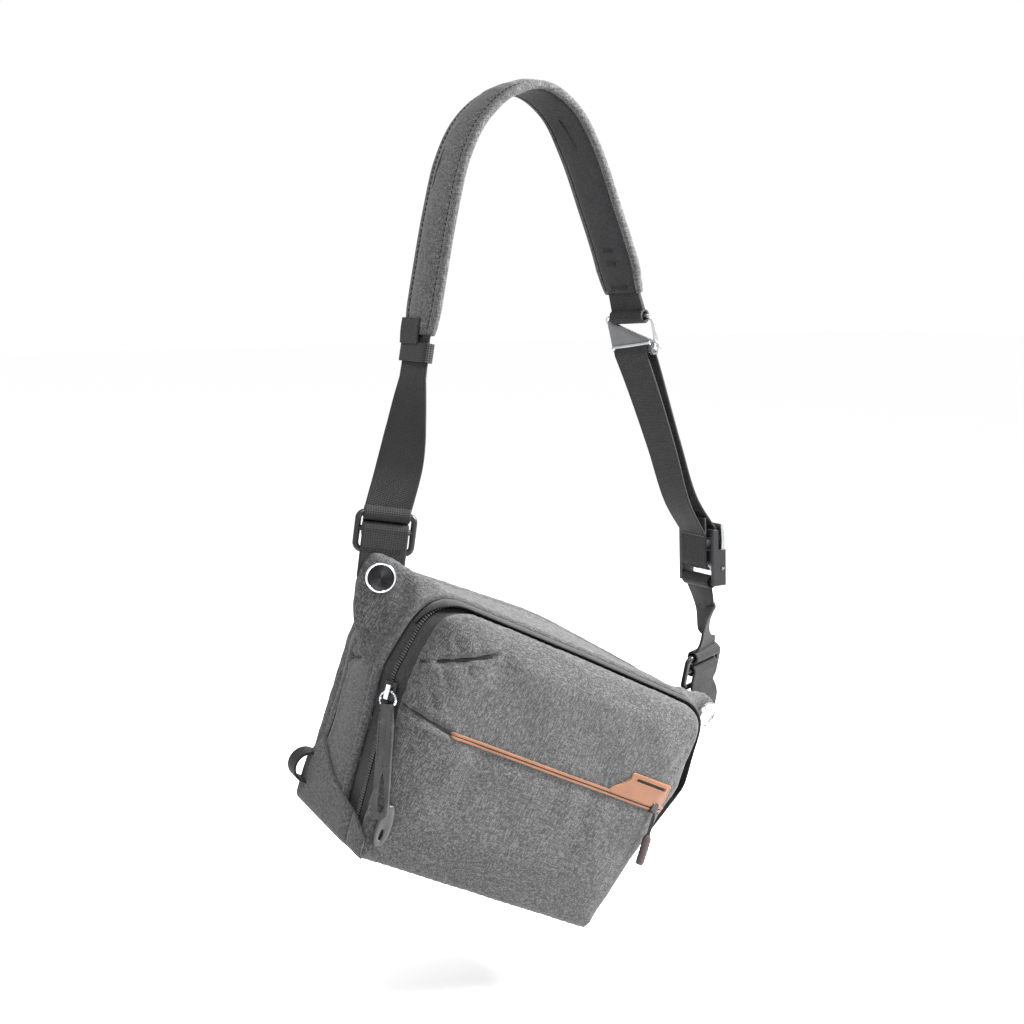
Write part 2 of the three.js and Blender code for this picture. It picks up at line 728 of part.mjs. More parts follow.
// Left: the frame lies just behind the anchor, in the wing's plane.
const leftFace = wingFace(-1);
const leftUp = upTheWing(leftFace, 5, 37.5);
const leftAcross = leftUp.clone().cross(leftFace);
const leftHub = hubFrame(-1, leftFace, leftUp);
const leftFrame = frameAt(
  leftHub.localToWorld(v(0, ANCHOR.drop, FRAME.rise)),
  leftAcross,
  leftUp,
);
add(leftFrame, "frame_left", buckle(), blackMetal);
add(
  strap,
  "anchor_left",
  joined(
    hung(tongue(FRAME.rise + MIDDLE_BAR, WEB.width / 2), leftHub),
    hung(sleeve(WEB.width, SLEEVE.inner, SLEEVE.outer, 0, MIDDLE_BAR), leftFrame),
  ),
  webbing,
);
const leftTop = leftFrame.localToWorld(v(0, 0, TOP_BAR + SLEEVE.inner + 1.5));
add(
  strap,
  "webbing_left",
  joined(
    ribbon(
      [leftTop, v(-103, 0, -245), v(-95, 0, -200), v(-88.6, 0, -164)],
      WEB.width,
      WEB.thick,
      22,
      [turnTo(leftUp, leftAcross), 56, 26, 4, 0],
    ),
    hung(sleeve(WEB.width, SLEEVE.inner, SLEEVE.outer, 0, TOP_BAR), leftFrame),
  ),
  webbing,
);

// Right: the frame lies behind the wing, and the anchor bends back to reach it.
const rightFace = wingFace(1);
const rightUp = upTheWing(rightFace, -2, 42);
const rightAcross = rightUp.clone().cross(rightFace);
const rightHub = hubFrame(1, rightFace, rightUp);
const rightFrame = frameAt(
  rightHub.localToWorld(v(-2, WING.thick / 2 + 3.4, FRAME.rise + 7)),
  rightAcross,
  rightUp,
);
add(rightFrame, "frame_right", buckle(), blackMetal);
const anchorPath = [
  rightHub.localToWorld(v(0, 0, 10)),
  rightHub.localToWorld(v(0, 0, 14)),
  rightFrame.localToWorld(v(0, -ANCHOR.drop - 0.9, 1 - FRAME.height / 2)),
  rightFrame.localToWorld(v(0, -ANCHOR.drop - 0.4, MIDDLE_BAR)),
];
const rightTurn = turnTo(rightUp, rightAcross);
add(
  strap,
  "anchor_right",
  joined(
    hung(tongue(15, 14), rightHub),
    ribbon(anchorPath, WEB.width - 4, ANCHOR.thick, 10, [rightTurn, rightTurn]),
    hung(sleeve(WEB.width - 4, SLEEVE.inner, SLEEVE.outer, 0, MIDDLE_BAR), rightFrame),
  ),
  webbing,
);

// ---------- hook at the right end of the pad ----------
const hookDown = v(0.2, 0, -0.98).normalize();
const hookAcross = v(0, 1, 0).applyAxisAngle(hookDown, THREE.MathUtils.degToRad(HOOK.turn));
const hook = frameAt(v(87, 0, -165), hookAcross, hookDown.clone().negate());
const hookBar = { top: HOOK.height / 2 - 2.4, bottom: -HOOK.height / 2 + 2.4 };
add(
  hook,
  "hook_plate",
  cut(
    slab(rounded([
      [-HOOK.width / 2 + 1, -HOOK.height / 2, 5, 3],
      [HOOK.width / 2 - 1, -HOOK.height / 2, 5, 3],
      [HOOK.width / 2, HOOK.height / 2, 4, 3],
      [-HOOK.width / 2, HOOK.height / 2, 4, 3],
    ]), HOOK.thick / 2, HOOK.thick, 1),
    box(-17, 17, -9, 9, 5.2, hookBar.top - 2.4),
    box(-17, 17, -9, 9, hookBar.bottom + 2.4, -2.6),
    box(-HOOK.width, -16, -9, 9, -6.4, -2.6),
  ),
  aluminium,
);
const HOOK_WEB = 30;
const loopTop = hook.localToWorld(v(0, 0, hookBar.top + SLEEVE.inner + 1.2));
const padEnd = STRAP.at(-1).clone().add(v(0.2, 0, -1));
add(
  strap,
  "pad_end_loop",
  joined(
    ribbon([padEnd, loopTop], HOOK_WEB, 4, 3, [-10, HOOK.turn]),
    hung(sleeve(HOOK_WEB, SLEEVE.inner, SLEEVE.outer, 0, hookBar.top), hook),
  ),
  webbing,
);

// ---------- quick adjuster ----------
const adjuster = frameAt(v(150.5, 0, -331), v(0, 1, 0), v(-0.03, 0, 1).normalize());
// The lever sits on the side away from the loop, which is -y here.
const OUT = -1;
const halfWide = ADJUSTER.width / 2;
const halfHigh = ADJUSTER.height / 2;
const cheek = (side) =>
  box(
    ...(side > 0 ? [halfWide - 3, halfWide] : [-halfWide, 3 - halfWide]),
    ...(OUT > 0 ? [-2, ADJUSTER.deep] : [-ADJUSTER.deep, 2]),
    -halfHigh,
    6,
  );
const PIN = { y: OUT * 6, z: -8, radius: 1.7 };
const adjusterBars = { top: halfHigh - 2.2, bottom: -halfHigh + 2.2 };
add(
  adjuster,
  "adjuster_body",
  cut(
    joined(box(-halfWide, halfWide, -2.2, 2.2, -halfHigh, halfHigh), cheek(1), cheek(-1)),
    box(-17.5, 17.5, -12, 12, 5, halfHigh - 4.4),
    box(-17.5, 17.5, -12, 12, -halfHigh + 4.4, -3),
    bar(v(-40, PIN.y, PIN.z), v(40, PIN.y, PIN.z), PIN.radius + 0.3, 12),
  ),
  blackMetal,
);
add(
  adjuster,
  "lever_pin",
  bar(v(-halfWide - 0.6, PIN.y, PIN.z), v(halfWide + 0.6, PIN.y, PIN.z), PIN.radius, 12),
  aluminium,
);
const leverProfile = rounded([
  [3.2, -12, 2, 3],
  [8.6, -12, 3, 3],
  [11.6, 2, 8, 3],
  [10.4, 18, 6, 3],
  [8.2, 25.5, 1, 2],
  [7.2, 24.5, 1, 2],
  [8.2, 12, 6, 3],
  [7.6, 2, 6, 3],
  [3.2, -3, 2, 3],
]);
const leverShape = new THREE.Shape(leverProfile.map(([y, z]) => new THREE.Vector2(OUT * y, z)));
const leverWide = 2 * (halfWide - 3 - 0.5);
const lever = new THREE.ExtrudeGeometry(leverShape, { depth: leverWide, bevelEnabled: false })
  .rotateY(Math.PI / 2)
  .rotateX(Math.PI / 2)
  .translate(-leverWide / 2, 0, 0);
add(
  adjuster,
  "adjuster_lever",
  cut(lever, bar(v(-40, PIN.y, PIN.z), v(40, PIN.y, PIN.z), PIN.radius + 0.3, 12)),
  aluminium,
);

// ---------- webbing of the right side ----------
// Two layers run from the hook to the adjuster and turn round a bar at each end.
const hookPoint = hook.localToWorld(v(0, 0, hookBar.bottom));
const adjusterPoint = adjuster.localToWorld(v(0, 0, adjusterBars.top));
const RUN = [hookPoint, v(98, 0, -198), v(117, 0, -247), v(133, 0, -288), adjusterPoint];
const RUN_TURNS = [HOOK.turn, 0];
const runPath = new THREE.CatmullRomCurve3(RUN, false, "centripetal");
function webbingLoop(path, half, thick, width, turns) {
  const station = (u, angle) => {
    const along = path.getTangentAt(u);
    const across = v(0, 1, 0).applyAxisAngle(
      along,
      THREE.MathUtils.degToRad(THREE.MathUtils.lerp(turns[0], turns[1], u)),
    );
    const out = along.clone().cross(across);
    const way = out.multiplyScalar(Math.cos(angle)).addScaledVector(along, Math.sin(angle));
    const slim = half - 1.6 * Math.sin(Math.PI * u);
    return [[-1, slim], [1, slim], [1, slim + thick], [-1, slim + thick]].map(([a, b]) =>
      path.getPointAt(u).addScaledVector(across, (a * width) / 2).addScaledVector(way, b));
  };
  const spots = Array.from({ length: 15 }, (_, i) => i / 14);
  const round = Array.from({ length: 7 }, (_, i) => ((i + 1) / 8) * Math.PI);
  return skin([
    ...spots.map((u) => station(u, 0)),
    ...round.map((angle) => station(1, angle)),
    ...spots.reverse().map((u) => station(u, Math.PI)),
    ...round.map((angle) => station(0, Math.PI + angle)),
  ], true);
}
add(strap, "webbing_right", webbingLoop(runPath, SLEEVE.inner + 0.9, 1.6, HOOK_WEB, RUN_TURNS), webbing);
const lowPoint = adjuster.localToWorld(v(0, 0, adjusterBars.bottom - SLEEVE.inner - 1));
const frameTop = rightFrame.localToWorld(v(0, 0, TOP_BAR + SLEEVE.inner + 1));
const lowTurn = turnTo(rightUp.clone().negate(), rightAcross);
add(
  strap,
  "webbing_lower",
  joined(
    ribbon(
      [lowPoint, v(157, 0, -372), rightFrame.localToWorld(v(1, 0, TOP_BAR + 16)), frameTop],
      WEB.width - 4,
      WEB.thick,
      24,
      [0, lowTurn / 4, (lowTurn * 3) / 4, lowTurn, lowTurn],
    ),
    hung(sleeve(WEB.width - 2, SLEEVE.inner, SLEEVE.outer, 0, adjusterBars.bottom), adjuster),
    hung(sleeve(WEB.width - 4, SLEEVE.inner, SLEEVE.outer, 0, TOP_BAR), rightFrame),
  ),
  webbing,
);

// ---------- keeper at the left end of the pad ----------
const keeper = frameAt(v(-90.3, 0, -173), v(0, 1, 0), v(0.17, 0, 0.985).normalize());
add(
  keeper,
  "keeper_loop",
  cut(box(-19, 19, -4, 4, -6.5, 6.5), box(-17, 17, -2.4, 2.4, -9, 9)),
  webbing,
);
add(
  strap,
  "pad_bartack",
  ribbon([v(-92.6, 0, -156), v(-90.8, 0, -146)], 27, 1, 3),
  webbing,
);

export default bagCamera;
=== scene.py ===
"""The looks of a melange camera sling bag that hangs from its padded strap.

Lengths in this script are millimetres until a mesh is made, and metres after that.
The bag has axes of its own, as in the CAD part: x along its length, y = 0 at its
back and negative to the front, z = 0 at its base."""

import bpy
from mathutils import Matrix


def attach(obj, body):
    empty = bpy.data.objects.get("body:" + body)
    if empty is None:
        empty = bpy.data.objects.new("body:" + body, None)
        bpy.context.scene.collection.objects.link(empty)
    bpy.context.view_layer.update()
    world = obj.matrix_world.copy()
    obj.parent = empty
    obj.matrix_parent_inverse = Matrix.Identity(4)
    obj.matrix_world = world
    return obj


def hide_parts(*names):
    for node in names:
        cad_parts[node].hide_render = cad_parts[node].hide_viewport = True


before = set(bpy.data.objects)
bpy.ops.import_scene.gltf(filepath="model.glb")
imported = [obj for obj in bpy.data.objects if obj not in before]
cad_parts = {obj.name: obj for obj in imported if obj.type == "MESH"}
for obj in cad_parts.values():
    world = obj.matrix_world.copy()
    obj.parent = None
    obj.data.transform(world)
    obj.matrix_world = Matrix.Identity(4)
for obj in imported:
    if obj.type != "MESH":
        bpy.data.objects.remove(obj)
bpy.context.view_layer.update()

import math
import random

import bmesh
import bpy
import numpy as np
from mathutils import Matrix, Vector
from mathutils.bvhtree import BVHTree

random.seed(7)
MM = 0.001
scene = bpy.context.scene
rad = math.radians
for leftover in ("Cube", "Light", "Camera"):
    if leftover in bpy.data.objects:
        bpy.data.objects.remove(bpy.data.objects[leftover])

# ---------------------------------------------------------------- dimensions
TILT, LEAN = rad(25.4), rad(9.1)
BAG_ORIGIN = Vector((-52, 74.55, -533))
BAG = Matrix.Translation(BAG_ORIGIN) @ Matrix.Rotation(TILT, 4, "Y") @ Matrix.Rotation(LEAN, 4, "X")

# Half widths at the base, waist and corner, heights of the shoulder and crown, corner radius.
BACK = (108, 130, 133, 177, 187, 34)
MIDDLE = (107, 137, 135, 182, 182, 42)
LIP = (106, 141, 135, 182, 183, 42)
ZIP = (104, 133, 131, 180, 181, 40)
FRONT = (103, 124, 125, 178, 179, 38)
WAIST_HEIGHT = 120
LIP_Y, ZIP_Y, HATCH_Y, FACE_Y = -76, -84, -90, -103
HUB_X, HUB_Y, HUB_Z, HUB_RADIUS, SPLAY = 152.5, -50, 171.5, 10.5, rad(22)
DRAWN_IN = 6.5


# ---------------------------------------------------------------- outlines
def bezier(a, b, c, count):
    t = np.linspace(0, 1, count + 1)[:, None]
    return (1 - t) ** 2 * a + 2 * t * (1 - t) * b + t**2 * c


def outline(section, inset=0.0):
    """The bag's outline in x and z, closed, from the middle of the base round by the right."""
    foot, waist, corner, shoulder, crown, corner_round = section
    right = [(foot, 0, 5, 6), (waist, WAIST_HEIGHT, 30, 10), (corner, shoulder, corner_round, 26)]
    corners = right + [(0, crown, 300, 12)] + [(-x, z, r, n) for x, z, r, n in reversed(right)]
    points = np.array([(x, z) for x, z, _, _ in corners], float)
    edges = np.roll(points, -1, 0) - points
    inward = np.stack([-edges[:, 1], edges[:, 0]], 1)
    inward /= np.linalg.norm(inward, axis=1)[:, None]
    a = np.roll(inward, 1, 0)
    points = points + (a + inward) * (inset / (1 + (a * inward).sum(1)))[:, None]
    straights = (24, 14, 36, 36, 14, 24, 48)
    ring = []
    for i, (_, _, radius, count) in enumerate(corners):
        here = points[i]
        before, after = points[i - 1] - here, points[(i + 1) % len(points)] - here
        lb, la = np.linalg.norm(before), np.linalg.norm(after)
        half = math.acos(float(np.clip(before @ after / lb / la, -1, 1))) / 2
        reach = min(max(2, radius - inset) / math.tan(half), lb * 0.48, la * 0.48)
        arc = bezier(here + before / lb * reach, here, here + after / la * reach, count)
        ring.append((arc, straights[i]))
    out = []
    for i, (arc, count) in enumerate(ring):
        following = ring[(i + 1) % len(ring)][0]
        out.append(arc)
        t = np.linspace(0, 1, count + 1)[1:-1, None]
        out.append(arc[-1] * (1 - t) + following[0] * t)
    return np.concatenate(out)


def mix_sections(a, b, t):
    return tuple(p + (q - p) * t for p, q in zip(a, b))


# ---------------------------------------------------------------- mesh making
def new_object(name, verts, faces, material, matrix=None, smooth=True, uv=None):
    """A mesh object from points in millimetres, placed by a millimetre matrix."""
    co = np.array(verts, float).reshape(-1, 3)
    if matrix is not None:
        m = np.array(matrix)
        co = co @ m[:3, :3].T + m[:3, 3]
    mesh = bpy.data.meshes.new(name)
    mesh.from_pydata((co * MM).tolist(), [], [list(map(int, f)) for f in faces])
    if uv is not None:
        layer = mesh.uv_layers.new(name="UVMap")
        flat = [uv[i] for f in faces for i in f]
        layer.data.foreach_set("uv", np.array(flat, float).ravel())
    mesh.validate()
    bm = bmesh.new()
    bm.from_mesh(mesh)
    bmesh.ops.recalc_face_normals(bm, faces=bm.faces)
    bm.to_mesh(mesh)
    bm.free()
    mesh.polygons.foreach_set("use_smooth", [smooth] * len(mesh.polygons))
    obj = bpy.data.objects.new(name, mesh)
    scene.collection.objects.link(obj)
    if material is not None:
        mesh.materials.append(material)
    return obj


def loft_faces(rows, columns, closed_rows=False, closed_columns=True):
    faces = []
    for r in range(rows if closed_rows else rows - 1):
        s = (r + 1) % rows
        for c in range(columns if closed_columns else columns - 1):
            d = (c + 1) % columns
            faces.append((r * columns + c, r * columns + d, s * columns + d, s * columns + c))
    return faces


def loft(name, rings, material, matrix=None, caps=True, closed_rows=False, uv=None):
    rings = [np.asarray(r, float) for r in rings]
    n = len(rings[0])
    faces = loft_faces(len(rings), n, closed_rows)
    if caps and not closed_rows:
        faces.append(tuple(range(n)))
        faces.append(tuple((len(rings) - 1) * n + i for i in range(n))[::-1])
    return new_object(name, np.concatenate(rings), faces, material, matrix, uv=uv)


def ring_at(section, y, inset=0.0):
    flat = outline(section, inset)
    depth = np.full((len(flat), 1), float(y)) if np.isscalar(y) else np.asarray(y(flat), float)[:, None]
    return np.hstack([flat[:, :1], depth, flat[:, 1:]])


def bake(obj):
    """Applies every modifier."""
    bpy.context.view_layer.update()
    graph = bpy.context.evaluated_depsgraph_get()
    mesh = bpy.data.meshes.new_from_object(obj.evaluated_get(graph))
    materials = [m for m in obj.data.materials]
    obj.modifiers.clear()
    obj.data = mesh
    if not mesh.materials:
        for m in materials:
            mesh.materials.append(m)
    mesh.polygons.foreach_set("use_smooth", [True] * len(mesh.polygons))
    return obj


def coords(obj):
    co = np.zeros(len(obj.data.vertices) * 3)
    obj.data.vertices.foreach_get("co", co)
    return co.reshape(-1, 3)


def set_coords(obj, co):
    obj.data.vertices.foreach_set("co", np.asarray(co, float).ravel())
    obj.data.update()


def normals(obj):
    no = np.zeros(len(obj.data.vertices) * 3)
    obj.data.vertices.foreach_get("normal", no)
    return no.reshape(-1, 3)


BAG_R = np.array(BAG)[:3, :3]
BAG_T = np.array(BAG)[:3, 3]


def to_bag(co):
    return (co / MM - BAG_T) @ BAG_R


def from_bag(co):
    return (co @ BAG_R.T + BAG_T) * MM


def subdivide(obj, levels=1):
    mod = obj.modifiers.new("Subdivision", "SUBSURF")
    mod.levels = mod.render_levels = levels
    return bake(obj)


def remesh(obj, size):
    mod = obj.modifiers.new("Remesh", "REMESH")
    mod.mode = "VOXEL"
    mod.voxel_size = size * MM
    mod.use_smooth_shade = True
    return bake(obj)


def relax(obj, rounds, factor=0.5, where=None):
    """Laplacian smoothing, weighted by where(bag points)."""
    mesh = obj.data
    edges = np.zeros(len(mesh.edges) * 2, int)
    mesh.edges.foreach_get("vertices", edges)
    edges = edges.reshape(-1, 2)
    co = coords(obj)
    weight = np.ones(len(co)) if where is None else where(to_bag(co))
    count = np.bincount(edges.ravel(), minlength=len(co)).astype(float)
    count[count == 0] = 1
    for _ in range(rounds):
        total = np.zeros_like(co)
        for axis in range(3):
            total[:, axis] = np.bincount(edges[:, 0], co[edges[:, 1], axis], len(co))
            total[:, axis] += np.bincount(edges[:, 1], co[edges[:, 0], axis], len(co))
        co += (total / count[:, None] - co) * factor * weight[:, None]
    set_coords(obj, co)
    return obj


def cloth(obj, pressure, cap, frames=20, pin=None, stiffness=15.0):
    """Swells a closed piece as padded fabric, moving no point further than cap."""
    start = coords(obj)
    mod = obj.modifiers.new("Cloth", "CLOTH")
    settings = mod.settings
    settings.quality = 4
    settings.mass = 0.3
    settings.tension_stiffness = settings.compression_stiffness = stiffness
    settings.shear_stiffness = 5
    settings.bending_stiffness = 0.5
    settings.use_pressure = True
    settings.uniform_pressure_force = pressure
    settings.effector_weights.gravity = 0
    if pin is not None:
        group = obj.vertex_groups.new(name="pin")
        weights = pin(to_bag(start))
        for level in np.linspace(0.1, 1, 10):
            chosen = np.nonzero((weights > level - 0.1) & (weights <= level + 1e-9))[0]
            if len(chosen):
                group.add([int(i) for i in chosen], float(level), "REPLACE")
        settings.vertex_group_mass = "pin"
    mod.point_cache.frame_start, mod.point_cache.frame_end = 1, frames
    for number in range(1, frames + 1):
        scene.frame_set(number)
    bake(obj)
    scene.frame_set(1)
    moved = coords(obj) - start
    length = np.linalg.norm(moved, axis=1)
    keep = np.minimum(1, cap * MM / np.maximum(length, 1e-9))
    set_coords(obj, start + moved * keep[:, None])
    return obj


# ---------------------------------------------------------------- seams
def densify(points, step=0.8):
    points = np.asarray(points, float)
    out = []
    for a, b in zip(points[:-1], points[1:]):
        n = max(1, int(np.linalg.norm(b - a) / step))
        out.append(a + (b - a) * np.linspace(0, 1, n, endpoint=False)[:, None])
    return np.concatenate(out + [points[-1:]])


def smooth_path(points, count):
    """A centripetal Catmull-Rom curve, evenly spaced."""
    p = np.asarray(points, float)
    p = np.concatenate([[2 * p[0] - p[1]], p, [2 * p[-1] - p[-2]]])
    dense = []
    for i in range(len(p) - 3):
        a, b, c, d = p[i : i + 4]
        t0 = 0.0
        t1 = t0 + max(np.linalg.norm(b - a), 1e-6) ** 0.5
        t2 = t1 + max(np.linalg.norm(c - b), 1e-6) ** 0.5
        t3 = t2 + max(np.linalg.norm(d - c), 1e-6) ** 0.5
        t = np.linspace(t1, t2, 40, endpoint=i == len(p) - 4)[:, None]
        ab = (t1 - t) / (t1 - t0) * a + (t - t0) / (t1 - t0) * b
        bc = (t2 - t) / (t2 - t1) * b + (t - t1) / (t2 - t1) * c
        cd = (t3 - t) / (t3 - t2) * c + (t - t2) / (t3 - t2) * d
        abc = (t2 - t) / (t2 - t0) * ab + (t - t0) / (t2 - t0) * bc
        bcd = (t3 - t) / (t3 - t1) * bc + (t - t1) / (t3 - t1) * cd
        dense.append((t2 - t) / (t2 - t1) * abc + (t - t1) / (t2 - t1) * bcd)
    dense = np.concatenate(dense)
    length = np.concatenate([[0], np.cumsum(np.linalg.norm(np.diff(dense, axis=0), axis=1))])
    want = np.linspace(0, length[-1], count)
    return np.stack([np.interp(want, length, dense[:, k]) for k in range(3)], 1)


def surface_of(obj):
    bpy.context.view_layer.update()
    mesh = obj.data
    return BVHTree.FromPolygons(
        [v.co for v in mesh.vertices], [p.vertices for p in mesh.polygons]
    )


def onto(tree, bag_points):
    """The nearest points of a surface, in bag millimetres, and its normals there."""
    places, facing = [], []
    for p in from_bag(np.asarray(bag_points, float)):
        co, no, _, _ = tree.find_nearest(Vector(p))
        places.append(co)
        facing.append(no)
    return to_bag(np.array(places)), np.array(facing) @ BAG_R


def nearest_distance(co, path):
    """Distance from each point to a polyline's samples, in millimetres."""
    best = np.full(len(co), 1e9)
    for chunk in range(0, len(path), 64):
        d = np.linalg.norm(co[:, None, :] - path[None, chunk : chunk + 64, :], axis=2)
        best = np.minimum(best, d.min(1))
    return best


def eased(points, rounds=30):
    """The same line without its small jumps."""
    p = np.array(points, float)
    for _ in range(rounds):
        p[1:-1] += ((p[:-2] + p[2:]) / 2 - p[1:-1]) * 0.5
    return p


def groove(obj, bag_points, depth, width, puff=0.0):
    """Draws a surface in along a seam, and lets it swell a little on both sides."""
    path = densify(bag_points, 1.2)
    co = coords(obj)
    local = to_bag(co)
    low, high = path.min(0) - 6 * width, path.max(0) + 6 * width
    near = np.all((local > low) & (local < high), axis=1)
    d = nearest_distance(local[near], path)
    inward = -depth * np.exp(-((d / width) ** 2))
    outward = puff * np.exp(-(((d - 3 * width) / (1.6 * width)) ** 2))
    co[near] += normals(obj)[near] * ((inward + outward) * MM)[:, None]
    set_coords(obj, co)


def tube(name, points, radius, material, matrix=None, sides=8, closed=False):
    """A round tube through points, its ends closed."""
    p = np.asarray(points, float)
    along = np.gradient(p, axis=0)
    if closed:
        along = np.roll(p, -1, 0) - np.roll(p, 1, 0)
    along /= np.linalg.norm(along, axis=1)[:, None] + 1e-12
    side = np.cross(along[0], (0.3, 0.9, 0.2))
    rings = []
    for i, t in enumerate(along):
        side = side - t * (side @ t)
        side /= np.linalg.norm(side)
        other = np.cross(t, side)
        r = radius[i] if hasattr(radius, "__len__") else radius
        a = np.linspace(0, 2 * math.pi, sides, endpoint=False)[:, None]
        rings.append(p[i] + r * (np.cos(a) * side + np.sin(a) * other))
    return loft(name, rings, material, matrix, caps=True, closed_rows=closed)


def joined(name, pieces):
    """One object from several."""
    bpy.ops.object.select_all(action="DESELECT")
    for piece in pieces:
        piece.select_set(True)
    bpy.context.view_layer.objects.active = pieces[0]
    if len(pieces) > 1:
        bpy.ops.object.join()
    result = bpy.context.view_layer.objects.active
    result.name = name
    result.data.name = name
    result.select_set(False)
    return result


def stitches(name, points, facing, material, length=2.6, pitch=4.0, radius=0.32, matrix=None, lift=0.1):
    """A row of thread stitches along points that lie on a surface."""
    p = np.asarray(points, float)
    run = np.concatenate([[0], np.cumsum(np.linalg.norm(np.diff(p, axis=0), axis=1))])
    verts, faces = [], []
    for s in np.arange(pitch / 2, run[-1] - length / 2, pitch):
        ends = [
            np.array([np.interp(s + e, run, p[:, k]) for k in range(3)]) for e in (-length / 2, length / 2)
        ]
        up = np.array([np.interp(s, run, np.asarray(facing)[:, k]) for k in range(3)])
        up /= np.linalg.norm(up) + 1e-9
        t = ends[1] - ends[0]
        t /= np.linalg.norm(t) + 1e-9
        side = np.cross(t, up)
        base = len(verts)
        for f, scale, drop in ((0, 0.45, -0.35), (0.22, 1, lift), (0.78, 1, lift), (1, 0.45, -0.35)):
            centre = ends[0] * (1 - f) + ends[1] * f + up * drop
            for a in range(6):
                angle = a * math.pi / 3
                verts.append(centre + radius * scale * (math.cos(angle) * side + math.sin(angle) * up))
        for r in range(3):
            for a in range(6):
                b = (a + 1) % 6
                faces.append((base + r * 6 + a, base + r * 6 + b, base + r * 6 + 6 + b, base + r * 6 + 6 + a))
        faces.append(tuple(base + a for a in range(6)))
        faces.append(tuple(base + 18 + a for a in range(6))[::-1])
    return new_object(name, verts, faces, material, matrix)


# ---------------------------------------------------------------- materials
class Nodes:
    """A material's node tree, with short calls for its nodes."""

    def __init__(self, name, roughness=0.6, metallic=0.0, specular=0.5):
        self.material = bpy.data.materials.new(name)
        self.material.use_nodes = True
        self.tree = self.material.node_tree
        self.shader = self.tree.nodes["Principled BSDF"]
        self.shader.inputs["Roughness"].default_value = roughness
        self.shader.inputs["Metallic"].default_value = metallic
        self.shader.inputs["Specular IOR Level"].default_value = specular

    def node(self, kind, **values):
        made = self.tree.nodes.new(kind)
        for key, value in values.items():
            if hasattr(made, key) and key not in made.inputs:
                setattr(made, key, value)
            else:
                made.inputs[key].default_value = value
        return made

    def link(self, a, b):
        self.tree.links.new(a, b)

    def place(self, in_bag=False, uv=False):
        source = self.node("ShaderNodeTexCoord").outputs["UV" if uv else "Object"]
        if not in_bag:
            return source
        mapping = self.node("ShaderNodeMapping", vector_type="TEXTURE")
        mapping.inputs["Rotation"].default_value = (LEAN, TILT, 0)
        mapping.inputs["Location"].default_value = BAG_ORIGIN * MM
        self.link(source, mapping.inputs["Vector"])
        return mapping.outputs[0]

    def scaled(self, source, scale):
        made = self.node("ShaderNodeVectorMath", operation="MULTIPLY")
        made.inputs[1].default_value = scale
        self.link(source, made.inputs[0])
        return made.outputs[0]

    def noise(self, source, scale, detail=2.0, roughness=0.5):
        made = self.node("ShaderNodeTexNoise")
        made.inputs["Scale"].default_value = 1.0
        made.inputs["Detail"].default_value = detail
        made.inputs["Roughness"].default_value = roughness
        vector = scale if hasattr(scale, "__len__") else (scale,) * 3
        self.link(self.scaled(source, vector), made.inputs["Vector"])
        return made.outputs["Fac"]

    def maths(self, operation, a, b=0.0, c=None):
        made = self.node("ShaderNodeMath", operation=operation)
        for slot, value in zip(made.inputs, (a, b) if c is None else (a, b, c)):
            if isinstance(value, (int, float)):
                slot.default_value = value
            else:
                self.link(value, slot)
        return made.outputs[0]

    def ramp(self, fac, stops):
        made = self.node("ShaderNodeValToRGB")
        elements = made.color_ramp.elements
        for i, (position, colour) in enumerate(stops):
            element = elements[i] if i < 2 else elements.new(position)
            element.position = position
            colour = (colour,) * 3 if isinstance(colour, float) else colour
            element.color = (*colour, 1)
        self.link(fac, made.inputs["Fac"])
        return made.outputs["Color"]

    def colour(self, output):
        self.link(output, self.shader.inputs["Base Color"])

    def rough(self, output):
        self.link(output, self.shader.inputs["Roughness"])

    def bump(self, height, distance, strength=1.0, after=None):
        made = self.node("ShaderNodeBump")
        made.inputs["Distance"].default_value = distance
        made.inputs["Strength"].default_value = strength
        self.link(height, made.inputs["Height"])
        if after is not None:
            self.link(after, made.inputs["Normal"])
        self.link(made.outputs["Normal"], self.shader.inputs["Normal"])
        return made.outputs["Normal"]


def heather(name, low, middle, high, in_bag=True, bump=0.00016, pitch=2300.0, run=270.0):
    """Melange cloth: threads of two greys across each other, with light flecks."""
    n = Nodes(name, roughness=0.92, specular=0.12)
    where = n.place(in_bag)
    upright = n.noise(where, (pitch, pitch, run), 1.0, 0.5)
    across = n.noise(where, (run, run, pitch), 1.0, 0.5)
    flecks = n.noise(where, (pitch * 0.7,) * 3, 1.0, 0.4)
    cloud = n.noise(where, 24.0, 3.0, 0.6)
    weave = n.maths("ADD", n.maths("MULTIPLY", upright, 0.46), n.maths("MULTIPLY", across, 0.34))
    weave = n.maths("ADD", weave, n.maths("MULTIPLY", flecks, 0.20))
    tone = n.maths("ADD", weave, n.maths("MULTIPLY", n.maths("SUBTRACT", cloud, 0.5), 0.05))
    n.colour(n.ramp(tone, [(0.38, low), (0.50, middle), (0.60, high)]))
    n.rough(n.maths("ADD", n.maths("MULTIPLY", weave, -0.2), 1.0))
    n.shader.inputs["Sheen Weight"].default_value = 0.08
    n.shader.inputs["Sheen Roughness"].default_value = 0.6
    soft = n.bump(cloud, 0.0008, 0.35)
    n.bump(weave, bump, 0.8, soft)
    return n.material


